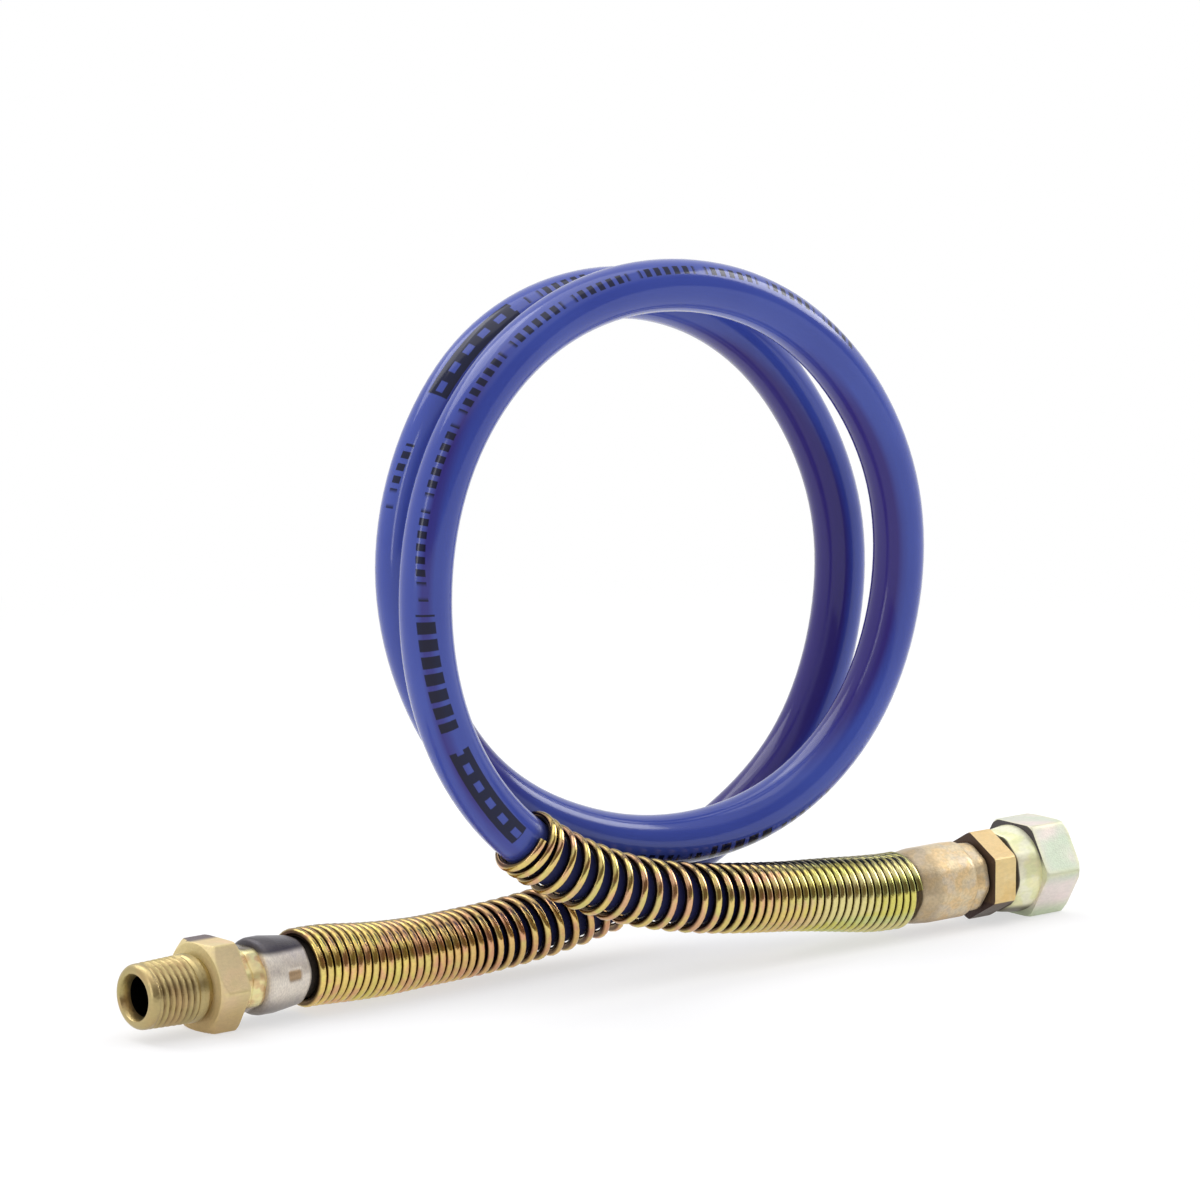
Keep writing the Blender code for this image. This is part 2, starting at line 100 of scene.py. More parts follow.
# Fittings along X
MALE_TIP_X = -0.10865
MALE_HEX_X = -0.09405
MALE_NECK_X = -0.08765
MALE_FERRULE_X = -0.08125
MALE_FERRULE_END_X = -0.07045
SWIVEL_BARREL_X = 0.06795
SWIVEL_GROOVE_X = 0.08305
SWIVEL_BEAD_END_X = 0.08665
SWIVEL_HEX_X = 0.08695
SWIVEL_HEX_END_X = 0.09275
NUT_COLLAR_X = 0.09355
NUT_HEX_X = 0.09915
NUT_END_X = 0.10865
THREAD_PITCH = 0.001411
THREAD_DEPTH = 0.0006
THREAD_LENGTH = 0.0135
THREAD_LARGE_RADIUS = 0.00685
THREAD_TAPER = 1 / 32
THREAD_SIDES = 96
RINGS_PER_PITCH = 12
NUT_THREAD_DEPTH = 0.0007
MALE_HEX_FLATS = 0.01746
SWIVEL_HEX_FLATS = 0.0160
NUT_FLATS = 0.01905
HEX_SIDES = 6
EDGE_ROUNDING = 0.00012
CORNER_STEPS = (0, 0.7, 1.5, 2.6, 4.5, 8, 13, 20, 30)
MERGE_DISTANCE = 1e-7
SHARP_ANGLE = math.radians(32)
HOSE_SHARP_ANGLE = math.radians(40)

# Camera: the photograph's viewing angle
VIEW_TURN = math.radians(39.92)
VIEW_DOWN = math.radians(10.14)
VIEW_DISTANCE = 1.5
VIEW_TARGET = (-0.00196, 0.00046, 0.07579)
VIEW_LENS = 227.0
SENSOR_WIDTH = 36
VIEW_RANGE = (0.05, 30)

# Cover and its marks
COVER_BLUE = (61, 78, 160)
COVER_BLUE_DEEP = (56, 71, 152)
# violet painted shade on some sides of the upright turns
COVER_VIOLET_PAINTED_SHADE = (52, 38, 110)
VIOLET_PAINTED_SHADE_SHARE = 0.9
# edges of the sides with violet painted shade in degrees of plan, and slopes of the hose where
# it begins and is full
VIOLET_PAINTED_SHADE_SIDES = {
    "left, first turn": (238, 330, 0.5, 0.85), "left, second turn": (212, 248, 0.5, 0.85),
    "right, first turn": (100, 262, 0.15, 0.5), "right, second turn": (120, 245, 0.45, 0.8),
}
VIOLET_PAINTED_SHADE_FADE = 16
COVER_CLOUDS = {"scale": 28.0, "edges": (0.35, 0.65)}
# painted shade on the cover inside the guards, where little light gets in
COVER_UNDER_GUARD_SHADE = (20, 15, 32)
UNDER_GUARD_SHADE_SHARE = 0.8
COVERED_EDGE = 0.003
COVER_ROUGHNESS = (0.13, 0.18)
RUBBED_ROUGHNESS = 0.4
COVER_COAT = (0.3, 0.05)
COVER_COAT_ROUGHNESS = 0.13
COVER_SPECULAR = 0.25
PRINT_DARK = (6, 5, 9)
PRINT_SHARE = 0.90
# share of the hose's length, and place around it
PRINT_LINE = [
    (0.0, 0.83), (0.33, 0.825), (0.365, 0.81), (0.39, 0.75), (0.44, 0.84), (0.495, 0.87),
    (0.54, 0.84), (0.66, 0.83), (0.72, 0.83), (0.76, 0.80), (0.79, 0.785), (0.81, 0.84),
    (0.83, 0.87), (0.86, 0.90), (1.0, 0.9),
]
# spacing of the marks, filled share, half height, spacing of the groups and of the notches
PRINT_KINDS = {
    "dash": (0.0023, 0.58, 0.030, 0.0161, 0),
    "block": (0.0033, 0.70, 0.058, 0, 0),
    "bar": (0, 0, 0.066, 0, 0.0044),
}
PRINT_GROUP_FILLED = 0.84
NOTCH_FILLED = 0.5
NOTCH_HALF_HEIGHT = 0.022
# soft edges: along the hose and around it, of a notch, and of a mark in its period
MARK_END_EDGE = 0.0001
MARK_SIDE_EDGE = 0.003
NOTCH_EDGE = 0.002
PERIOD_EDGE = 0.03
# where each run of marks starts and ends along the hose
PRINT_RUNS = [
    (0.292, 0.3085, "dash"), (0.3108, 0.3340, "bar"), (0.344, 0.356, "dash"),
    (0.455, 0.4715, "dash"), (0.4733, 0.4885, "block"), (0.490, 0.503, "dash"),
    (0.600, 0.7425, "dash"), (0.7449, 0.7680, "block"), (0.7725, 0.7955, "bar"),
]

# Floor, room and lamps
FLOOR_HALF = 8.0
FLOOR_DROP = 0.0001
FLOOR_COLOUR = (0.93, 0.93, 0.935, 1)
FLOOR_ROUGHNESS = 0.9
FLOOR_SPECULAR = 0.1
# share of white near the object, and distances between which it rises to all white
FLOOR_LIFT = 0.6
FLOOR_WHITE = (0.12, 0.45)
# heights of the room's dark part, its direction and how far round it reaches
DARK_HEIGHTS = (-0.26, 0.60)
DARK_SIDE = (0.05, -0.998, 0.0)
DARK_EDGE = (0.25, 0.6)
DARK_HEIGHT_FADE = 0.1
ROOM_MIRRORED = (0.9, 0.9, 0.92, 1.0)
DARK_MIRRORED = (0.16, 0.12, 0.09, 1.0)
ROOM_SOFT = (0.62, 0.62, 0.64, 1.0)
DARK_SOFT = (0.52, 0.51, 0.54, 1.0)
WHITE = (1.0, 1.0, 1.0, 1.0)
LIGHT_AIM = (0, 0, 0.06)
# name, place, width and height, watts
LIGHTS = [
    ("top_softbox", (0.1, 0.1, 1.4), (1.2, 1.2), 6.5),
    ("back_softbox", (-0.27, 0.75, 1.08), (0.8, 0.8), 6),
    ("right_softbox", (1.25, -0.3, 0.75), (0.7, 0.7), 8),
    ("left_strip", (-1.2, -0.13, 0.5), (0.14, 1.0), 2.2),
]

# Plated finishes. Noise: its scale, and the two values of it that are spread over 0 to 1
SECOND_CLOUDS = (0.42, 0.60)
THIRD_CLOUDS = (0.48, 0.64)
THIRD_SHIFT = (0.37, 0.19, 0.53)
GRAIN = {"scale": 2600.0, "edges": (0.3, 0.7), "detail": 3.0}
SCRATCHES = {"scale": 1800.0, "edges": (0.35, 0.65), "detail": 4.0}
SMUDGES = {"scale": 90.0, "edges": (0.4, 0.65)}
SCRATCH_TINT = (96, 84, 76)
PLAIN_STRETCH = 0.5
PLAIN_SCRATCHES = 0.08
TURN_SHIFT = 0.0023
FAR_FADE = 0.12
# a place or share past any that a mask reads
BEYOND = 2.0

# A look: main, second and third tint and the shares of the last two, the clouds' scale, roughness
# where clean and where smudged, and the grain's height. A guard has far tints on the hose's side,
# from a share of its turns on. An attribute tint has the stored value's name, the values where it
# starts and is full, the tint and its share. A place tint has an axis in place of the name. Many
# of both kinds are painted shade or a painted dark reflection, as noted at each look.
SWIVEL_GUARD_LOOK = {
    "tints": ((216, 208, 110), (226, 214, 152), (194, 206, 140)),
    "far_tints": ((226, 200, 122), (218, 168, 134), (206, 202, 122)), "far_from": 0.40,
    "cloud": 260.0, "shares": (0.85, 0.6), "roughness": (0.14, 0.22), "grain": 0.000005,
    "attribute_tints": [
        # painted shade, on both guards: darker on the tops of the coils and deep in the gaps
        # between turns
        ("height", 0.60, 1.00, (96, 84, 54), 0.65), ("flank", 0.58, 0.97, (58, 34, 32), 0.9),
    ],
}
MALE_GUARD_LOOK = dict(
    SWIVEL_GUARD_LOOK, tints=((238, 208, 124), (228, 176, 134), (224, 214, 116)),
    far_tints=((228, 190, 122), (220, 162, 128), (218, 204, 126)),
)
MALE_LOOK = {
    "tints": ((182, 164, 114), (190, 160, 112), (168, 158, 98)),
    "cloud": 120.0, "shares": (0.7, 0.5), "roughness": (0.28, 0.38), "grain": 0.00002,
    "metallic": 0.85,
    "attribute_tints": [
        # painted shade in the thread's grooves, and black painted shade in the bore
        ("groove", 0.35, 1.0, (104, 72, 48), 0.5), ("bore", 0.3, 0.7, (14, 13, 13), 1.0),
    ],
}
MALE_HEX_LOOK = {
    "tints": ((222, 202, 156), (230, 200, 158), (214, 196, 138)),
    "cloud": 110.0, "shares": (0.7, 0.4), "roughness": (0.45, 0.55), "grain": 0.00003,
    "metallic": 0.5,
    "attribute_tints": [
        # far_top: painted dark reflection on the far half of the top face
        ("rim", 0.75, 1.1, (226, 210, 142), 0.5), ("far_top", 0.2, 0.9, (58, 50, 80), 0.85),
    ],
    # painted shade, darker towards the bottom
    "place_tints_and_painted_shade": [(2, MALE_Z + 0.0005, MALE_Z - 0.0060, (186, 154, 96), 0.6)],
}
COLLAR_LOOK = {
    "tints": ((250, 240, 176), (244, 214, 152), (218, 172, 124)),
    "cloud": 330.0, "shares": (0.5, 0.7), "roughness": (0.22, 0.3), "grain": 0.00001,
    "metallic": 0.5,
    "place_tints_and_painted_shade": [
        # painted shade towards the bottom, and a painted dark reflection along the top
        (2, MALE_Z - 0.0038, MALE_Z - 0.0052, (90, 62, 60), 0.75),
        (2, MALE_Z + 0.0058, MALE_Z + 0.0064, (66, 58, 70), 0.85),
    ],
}
MALE_FERRULE_LOOK = {
    "tints": ((238, 228, 212), (244, 236, 220), (208, 198, 190)),
    "cloud": 210.0, "shares": (0.6, 0.6), "roughness": (0.30, 0.42), "grain": 0.00002,
    "metallic": 0.38, "scratches": 0.2, "stretch": 2.5,
    "place_tints_and_painted_shade": [
        # painted dark reflection along the top, painted shade towards the bottom, painted shade on
        # the end face by the guard
        (2, MALE_Z + 0.0046, MALE_Z + 0.0058, (28, 25, 46), 0.95),
        (2, MALE_Z - 0.0020, MALE_Z - 0.0064, (118, 110, 108), 0.75),
        (0, MALE_FERRULE_END_X - 0.0002, MALE_FERRULE_END_X + 0.0003, (18, 14, 16), 0.97),
    ],
    "attribute_tints": [("dent", 0.2, 0.9, (178, 142, 92), 0.85)],
}
SWIVEL_FERRULE_LOOK = {
    "tints": ((228, 208, 168), (230, 196, 138), (216, 204, 184)),
    "cloud": 300.0, "shares": (0.7, 0.65), "roughness": (0.36, 0.48), "grain": 0.00003,
    "metallic": 0.42, "scratches": 0.2, "stretch": 0.8,
    "place_tints_and_painted_shade": [
        (0, SWIVEL_BARREL_X + 0.0064, SWIVEL_BARREL_X + 0.0036, (174, 154, 122), 0.6),
        # painted shade on the end face by the guard, and towards the bottom
        (0, SWIVEL_BARREL_X + 0.0002, SWIVEL_BARREL_X - 0.0003, (72, 58, 44), 0.9),
        (2, SWIVEL_Z - 0.0055, SWIVEL_Z - 0.0078, (140, 108, 72), 0.7),
    ],
}
SWIVEL_HEX_LOOK = {
    "tints": ((238, 212, 150), (238, 204, 134), (242, 222, 172)),
    "cloud": 230.0, "shares": (0.8, 0.5), "roughness": (0.42, 0.52), "grain": 0.00003,
    "metallic": 0.42,
    "place_tints_and_painted_shade": [
        # painted shade: the top face toned down, the bottom face and the end face by the ferrule
        # dark
        (2, SWIVEL_Z + 0.00455, SWIVEL_Z + 0.00480, (214, 184, 134), 0.6),
        (2, SWIVEL_Z - 0.00455, SWIVEL_Z - 0.00480, (52, 32, 32), 0.92),
        (0, SWIVEL_HEX_X + 0.00014, SWIVEL_HEX_X + 0.00004, (60, 40, 38), 0.95),
    ],
}
NUT_LOOK = {
    "tints": ((212, 214, 198), (232, 218, 210), (200, 216, 190)),
    "cloud": 110.0, "shares": (0.8, 0.7), "roughness": (0.42, 0.52), "grain": 0.00002,
    "metallic": 0.35,
    "attribute_tints": [
        # back: painted shade on the upper part of the hexagon's end face towards the collar
        ("rim", 0.7, 1.15, (224, 222, 164), 0.55), ("back", 0.1, 0.9, (50, 42, 56), 0.94),
    ],
    "place_tints_and_painted_shade": [
        (2, SWIVEL_Z - 0.0005, SWIVEL_Z - 0.0030, (244, 228, 224), 0.6),
        (2, SWIVEL_Z - 0.0058, SWIVEL_Z - 0.0088, (204, 220, 184), 0.8),
    ],
}
NUT_COLLAR_LOOK = {
    "tints": ((246, 242, 192), (232, 236, 182), (250, 248, 228)),
    "cloud": 260.0, "shares": (0.7, 0.6), "roughness": (0.3, 0.4), "grain": 0.00001,
    "metallic": 0.35,
    "place_tints_and_painted_shade": [
        # painted shade towards the bottom, and a painted shadow on the collar's end in the gap by
        # the hexagon
        (2, SWIVEL_Z - 0.0060, SWIVEL_Z - 0.0076, (70, 56, 44), 0.85),
        (0, NUT_COLLAR_X + 0.00032, NUT_COLLAR_X + 0.00012, (48, 34, 34), 0.92),
    ],
}


class Route:
    """A smooth curve (natural cubic spline) through points, measured along its length."""

    def __init__(self, points):
        self.points = np.array(points, float)
        self.knots = self.measure(self.points)
        self.bends = self.solve_bends()
        self.marks = np.linspace(0, self.knots[-1], ROUTE_MARKS)
        self.lengths = self.measure(self.at_mark(self.marks))
        self.length = self.lengths[-1]

    @staticmethod
    def measure(points):
        """Distance of each point from the first, along the straight runs between them."""
        runs = np.linalg.norm(np.diff(points, axis=0), axis=1)
        return np.concatenate([[0], np.cumsum(runs)])

    def solve_bends(self):
        """Second derivative at each point that makes the curve's slope and bend continuous."""
        count = len(self.points)
        gaps = np.diff(self.knots)
        slopes = np.diff(self.points, axis=0) / gaps[:, None]
        matrix = np.eye(count)
        target = np.zeros((count, 3))
        for i in range(1, count - 1):
            matrix[i, i - 1] = gaps[i - 1]
            matrix[i, i] = 2 * (gaps[i - 1] + gaps[i])
            matrix[i, i + 1] = gaps[i]
            target[i] = 6 * (slopes[i] - slopes[i - 1])
        return np.linalg.solve(matrix, target)

    def at_mark(self, marks):
        """Points of the curve at these knot values."""
        marks = np.atleast_1d(marks)
        i = np.clip(np.searchsorted(self.knots, marks) - 1, 0, len(self.knots) - 2)
        gap = (self.knots[i + 1] - self.knots[i])[:, None]
        after = (marks - self.knots[i])[:, None] / gap
        before = 1 - after
        return (
            before * self.points[i]
            + after * self.points[i + 1]
            + gap**2 / 6 * (before**3 - before) * self.bends[i]
            + gap**2 / 6 * (after**3 - after) * self.bends[i + 1]
        )

    def places(self, distances):
        """Points at these distances along the curve."""
        return self.at_mark(np.interp(distances, self.lengths, self.marks))


def hose_route():
    """The hose's centreline, kept on each fitting's axis as far as its ferrule's tail reaches."""
    shares = (0, 0.5, 1)
    start = [(HOSE_START_X + MALE_STRAIGHT * k, MALE_Y, MALE_Z) for k in shares]
    end = [(HOSE_END_X - SWIVEL_STRAIGHT * k, SWIVEL_Y, SWIVEL_Z) for k in reversed(shares)]
    return Route(start + HOSE_MIDDLE + end)


# Shader helpers


def link(tree, source, target):
    tree.links.new(source, target)


def node(tree, kind, **settings):
    made = tree.nodes.new(kind)
    for name, value in settings.items():
        setattr(made, name, value)
    return made


def set_or_link(tree, value, socket):
    """Gives a socket a plain value or the output of another node."""
    if isinstance(value, bpy.types.NodeSocket):
        link(tree, value, socket)
    else:
        socket.default_value = value


def math_node(tree, operation, first, second=None):
    """A math node on sockets or numbers. Returns its output."""
    made = node(tree, "ShaderNodeMath", operation=operation)
    set_or_link(tree, first, made.inputs[0])
    if second is not None:
        set_or_link(tree, second, made.inputs[1])
    return made.outputs[0]


def soft_step(tree, value, low, high, at_low=0.0, at_high=1.0):
    """Goes smoothly from at_low to at_high as the value goes from low to high."""
    step = node(tree, "ShaderNodeMapRange", interpolation_type="SMOOTHSTEP")
    link(tree, value, step.inputs["Value"])
    step.inputs["From Min"].default_value = low
    step.inputs["From Max"].default_value = high
    step.inputs["To Min"].default_value = at_low
    step.inputs["To Max"].default_value = at_high
    return step.outputs[0]


def band(tree, value, low, high, soft):
    """1 where the value lies between low and high, with soft edges."""
    rise = soft_step(tree, value, low - soft, low + soft)
    fall = soft_step(tree, value, high - soft, high + soft, 1, 0)
    return math_node(tree, "MULTIPLY", rise, fall)


def mix_colour(tree, share, first, second):
    """Blends two colours, each a socket or an RGBA value. Returns the output."""
    mix = node(tree, "ShaderNodeMix", data_type="RGBA")
    first_colour, second_colour, mixed = mix.inputs[6], mix.inputs[7], mix.outputs[2]
    link(tree, share, mix.inputs["Factor"])
    set_or_link(tree, first, first_colour)
    set_or_link(tree, second, second_colour)
    return mixed


def soft_noise(tree, where, scale, edges, detail=2.0):
    """Noise whose values between the two edges are spread over 0 to 1."""
    noise = node(tree, "ShaderNodeTexNoise")
    noise.inputs["Detail"].default_value = detail
    set_or_link(tree, scale, noise.inputs["Scale"])
    link(tree, where, noise.inputs["Vector"])
    return soft_step(tree, noise.outputs["Fac"], *edges)


def object_place(tree):
    return node(tree, "ShaderNodeTexCoord").outputs["Object"]


def stored_value(tree, name):
    """A value that is stored at the piece's points."""
    return node(tree, "ShaderNodeAttribute", attribute_name=name).outputs["Fac"]


def parts_of(tree, vector):
    """The X, Y and Z of a vector, as sockets."""
    parts = node(tree, "ShaderNodeSeparateXYZ")
    link(tree, vector, parts.inputs[0])
    return parts.outputs


def srgb(red, green, blue):
    """A colour from its 0 to 255 screen values."""
    def linear(value):
        value = value / 255
        return value / 12.92 if value <= 0.04045 else ((value + 0.055) / 1.055) ** 2.4
    return (linear(red), linear(green), linear(blue), 1.0)


def add_socket(tree, way, kind, name):
    """A named input or output of a node group."""
    tree.interface.new_socket(name, in_out=way, socket_type="NodeSocket" + kind)


def plating_group():
    """Passivated zinc: a main tint with clouds of two others, and a fine grain."""
    tree = bpy.data.node_groups.new("zinc plating", "ShaderNodeTree")
    add_socket(tree, "INPUT", "Vector", "Vector")
    for name in ("Cloud Scale", "Second Share", "Third Share"):
        add_socket(tree, "INPUT", "Float", name)
    for name in ("Main", "Second", "Third"):
        add_socket(tree, "INPUT", "Color", name)
    add_socket(tree, "OUTPUT", "Color", "Color")
    add_socket(tree, "OUTPUT", "Float", "Grain")
    inputs = node(tree, "NodeGroupInput").outputs
    outputs = node(tree, "NodeGroupOutput").inputs
    shift = node(tree, "ShaderNodeVectorMath", operation="ADD")
    shift.inputs[1].default_value = THIRD_SHIFT
    link(tree, inputs["Vector"], shift.inputs[0])
    second = soft_noise(tree, inputs["Vector"], inputs["Cloud Scale"], SECOND_CLOUDS)
    third = soft_noise(tree, shift.outputs[0], inputs["Cloud Scale"], THIRD_CLOUDS)
    second = math_node(tree, "MULTIPLY", second, inputs["Second Share"])
    third = math_node(tree, "MULTIPLY", third, inputs["Third Share"])
    tint = mix_colour(tree, second, inputs["Main"], inputs["Second"])
    tint = mix_colour(tree, third, tint, inputs["Third"])
    link(tree, tint, outputs["Color"])
    link(tree, soft_noise(tree, inputs["Vector"], **GRAIN), outputs["Grain"])
    return tree


def wear_group():
    """Handling marks: fine scratches drawn out along X, and dull smudges."""
    tree = bpy.data.node_groups.new("handling wear", "ShaderNodeTree")
    add_socket(tree, "INPUT", "Vector", "Vector")
    add_socket(tree, "INPUT", "Float", "Stretch")
    add_socket(tree, "OUTPUT", "Float", "Scratches")
    add_socket(tree, "OUTPUT", "Float", "Smudges")
    inputs = node(tree, "NodeGroupInput").outputs
    outputs = node(tree, "NodeGroupOutput").inputs
    parts = parts_of(tree, inputs["Vector"])
    drawn = node(tree, "ShaderNodeCombineXYZ")
    link(tree, math_node(tree, "MULTIPLY", parts[0], inputs["Stretch"]), drawn.inputs[0])
    link(tree, parts[1], drawn.inputs[1])
    link(tree, parts[2], drawn.inputs[2])
    link(tree, soft_noise(tree, drawn.outputs[0], **SCRATCHES), outputs["Scratches"])
    link(tree, soft_noise(tree, inputs["Vector"], **SMUDGES), outputs["Smudges"])
    return tree


def new_material(name):
    material = bpy.data.materials.new(name)
    material.use_nodes = True
    tree = material.node_tree
    return material, tree, tree.nodes["Principled BSDF"]


def place_group(tree, group, where):
    made = node(tree, "ShaderNodeGroup", node_tree=group)
    link(tree, where, made.inputs["Vector"])
    return made


def bump(tree, shader, height, distance):
    made = node(tree, "ShaderNodeBump")
    made.inputs["Distance"].default_value = distance
    link(tree, height, made.inputs["Height"])
    link(tree, made.outputs[0], shader.inputs["Normal"])


def value_between(tree, share, low, high):
    """low where the mask is 0 and high where it is 1."""
    spread = node(tree, "ShaderNodeMapRange")
    link(tree, share, spread.inputs["Value"])
    spread.inputs["To Min"].default_value = low
    spread.inputs["To Max"].default_value = high
    return spread.outputs[0]


def add_place_tints_and_painted_shade(tree, colour, place_tints_and_painted_shade):
    """Tints parts of a piece, or darkens them as painted shade. Each has an axis, the places along
    it where the tint starts and is full, the tint and its share."""
    place = parts_of(tree, object_place(tree))
    for axis, start, full, tint, share in place_tints_and_painted_shade:
        mask = soft_step(tree, place[axis], start, full, 0.0, share)
        colour = mix_colour(tree, mask, colour, srgb(*tint))
    return colour


def attribute_tint(tree, colour, name, low, high, tint, share):
    """Tints a piece where a stored value goes from low to high."""
    mask = soft_step(tree, stored_value(tree, name), low, high, 0.0, share)
    return mix_colour(tree, mask, colour, srgb(*tint))


def plating_colour(tree, where, look, tints):
    plating = place_group(tree, GROUPS["plating"], where)
    plating.inputs["Cloud Scale"].default_value = look["cloud"]
    plating.inputs["Second Share"].default_value = look["shares"][0]
    plating.inputs["Third Share"].default_value = look["shares"][1]
    for socket, tint in zip(("Main", "Second", "Third"), tints):
        plating.inputs[socket].default_value = srgb(*tint)
    return plating


def plated_material(name, look, where=object_place):
    """Zinc plated steel with the tints, clouds, painted shade and gloss of one piece."""
    material, tree, shader = new_material(name)
    place = where(tree)
    plating = plating_colour(tree, place, look, look["tints"])
    colour = plating.outputs["Color"]
    if "far_tints" in look:
        far = plating_colour(tree, place, look, look["far_tints"]).outputs["Color"]
        on_hose = band(tree, stored_value(tree, "share"), look["far_from"], BEYOND, FAR_FADE)
        colour = mix_colour(tree, on_hose, colour, far)
    for tint in look.get("attribute_tints", ()):
        colour = attribute_tint(tree, colour, *tint)
    colour = add_place_tints_and_painted_shade(tree, colour, look.get("place_tints_and_painted_shade", ()))
    wear = place_group(tree, GROUPS["wear"], object_place(tree))
    wear.inputs["Stretch"].default_value = look.get("stretch", PLAIN_STRETCH)
    scratches = look.get("scratches", PLAIN_SCRATCHES)
    dulled = math_node(tree, "MULTIPLY", wear.outputs["Scratches"], scratches)
    colour = mix_colour(tree, dulled, colour, srgb(*SCRATCH_TINT))
    link(tree, colour, shader.inputs["Base Color"])
    roughness = value_between(tree, wear.outputs["Smudges"], *look["roughness"])
    link(tree, roughness, shader.inputs["Roughness"])
    shader.inputs["Metallic"].default_value = look.get("metallic", 1.0)
    bump(tree, shader, plating.outputs["Grain"], look["grain"])
    return material


def by_turn(tree):
    """Texture place on a coil: it changes from turn to turn and slowly around each."""
    shift = node(tree, "ShaderNodeCombineXYZ")
    along = math_node(tree, "MULTIPLY", stored_value(tree, "turn"), TURN_SHIFT)
    link(tree, along, shift.inputs[0])
    moved = node(tree, "ShaderNodeVectorMath", operation="ADD")
    link(tree, object_place(tree), moved.inputs[0])
    link(tree, shift.outputs[0], moved.inputs[1])
    return moved.outputs[0]


def cover_material(length):
    """The hose's blue cover: soft gloss and a line of plain print marks. It has violet painted
    shade on some sides of the turns, and inside the guards painted shade and a dull surface where
    the wire rubs."""
    material, tree, shader = new_material("blue cover")
    uv = parts_of(tree, node(tree, "ShaderNodeUVMap", uv_map="cover").outputs[0])
    along = math_node(tree, "MULTIPLY", uv[0], length)
    place = object_place(tree)
    wear = place_group(tree, GROUPS["wear"], place)
    clouds = soft_noise(tree, place, **COVER_CLOUDS)
    colour = mix_colour(tree, clouds, srgb(*COVER_BLUE), srgb(*COVER_BLUE_DEEP))
    # violet painted shade on some sides of the turns
    painted_violet_shade = math_node(tree, "MULTIPLY", stored_value(tree, "painted_violet_shade"), VIOLET_PAINTED_SHADE_SHARE)
    colour = mix_colour(tree, painted_violet_shade, colour, srgb(*COVER_VIOLET_PAINTED_SHADE))
    marks = print_marks(tree, along, uv[1], length)
    printed = math_node(tree, "MULTIPLY", marks, PRINT_SHARE)
    colour = mix_colour(tree, printed, colour, srgb(*PRINT_DARK))
    male_end, swivel_end = covered_lengths(length)
    in_male_guard = band(tree, along, -BEYOND, male_end, COVERED_EDGE)
    in_swivel_guard = band(tree, along, swivel_end, BEYOND, COVERED_EDGE)
    covered = math_node(tree, "MAXIMUM", in_male_guard, in_swivel_guard)
    # painted shade inside the guards
    under_guard_shade = math_node(tree, "MULTIPLY", covered, UNDER_GUARD_SHADE_SHARE)
    colour = mix_colour(tree, under_guard_shade, colour, srgb(*COVER_UNDER_GUARD_SHADE))
    link(tree, colour, shader.inputs["Base Color"])
    roughness = value_between(tree, wear.outputs["Smudges"], *COVER_ROUGHNESS)
    rubbed = math_node(tree, "MULTIPLY", covered, RUBBED_ROUGHNESS)
    link(tree, math_node(tree, "ADD", roughness, rubbed), shader.inputs["Roughness"])
    dull = math_node(tree, "MAXIMUM", math_node(tree, "MAXIMUM", painted_violet_shade, marks), covered)
    link(tree, value_between(tree, dull, *COVER_COAT), shader.inputs["Coat Weight"])
    shader.inputs["Coat Roughness"].default_value = COVER_COAT_ROUGHNESS
    shader.inputs["Specular IOR Level"].default_value = COVER_SPECULAR
    return material


def guard_seats(length):
    """How far along the hose each guard starts, at its ferrule."""
    return MALE_GUARD_X - HOSE_START_X, length - (HOSE_END_X - SWIVEL_GUARD_X)


def covered_lengths(length):
    """How far along the hose the male guard reaches, and where the swivel guard begins."""
    male_seat, swivel_seat = guard_seats(length)
    return (
        male_seat + sum(guard_pitches(MALE_GUARD_TURNS)),
        swivel_seat - sum(guard_pitches(SWIVEL_GUARD_TURNS)),
    )


def print_marks(tree, along, around, length):
    """Plain dashes, blocks and notched bars in a line along the hose."""
    across = math_node(tree, "SUBTRACT", around, print_line(tree, along, length))
    across = math_node(tree, "ADD", across, 0.5)
    across = math_node(tree, "SUBTRACT", math_node(tree, "FRACT", across), 0.5)
    total = None
    for start, end, kind in PRINT_RUNS:
        period, filled, width, group, notch = PRINT_KINDS[kind]
        inside = band(tree, along, start, end, MARK_END_EDGE)
        beside = band(tree, across, -width, width, MARK_SIDE_EDGE)
        mark = math_node(tree, "MULTIPLY", inside, beside)
        if period:
            mark = math_node(tree, "MULTIPLY", mark, dashes(tree, along, period, filled))
        if group:
            groups = dashes(tree, along, group, PRINT_GROUP_FILLED)
            mark = math_node(tree, "MULTIPLY", mark, groups)
        if notch:
            cut = dashes(tree, along, notch, NOTCH_FILLED)
            middle = band(tree, across, -NOTCH_HALF_HEIGHT, NOTCH_HALF_HEIGHT, NOTCH_EDGE)
            cut = math_node(tree, "MULTIPLY", cut, middle)
            mark = math_node(tree, "MULTIPLY", mark, math_node(tree, "SUBTRACT", 1.0, cut))
        total = mark if total is None else math_node(tree, "MAXIMUM", total, mark)
    return total


def dashes(tree, along, period, filled):
    """Marks of one period, each filled over this share of it."""
    phase = math_node(tree, "FRACT", math_node(tree, "DIVIDE", along, period))
    return band(tree, phase, (1 - filled) / 2, (1 + filled) / 2, PERIOD_EDGE)


def print_line(tree, along, length):
    """The print's place around the hose, which drifts along it."""
    curve = node(tree, "ShaderNodeFloatCurve")
    points = curve.mapping.curves[0].points
    for k, (share, place) in enumerate(PRINT_LINE):
        if k < 2:
            points[k].location = (share, place)
        else:
            points.new(share, place)
    curve.mapping.update()
    link(tree, math_node(tree, "DIVIDE", along, length), curve.inputs["Value"])
    return curve.outputs[0]


# Mesh helpers


def new_object(name, data):
    made = bpy.data.objects.new(name, data)
    bpy.context.scene.collection.objects.link(made)
    return made


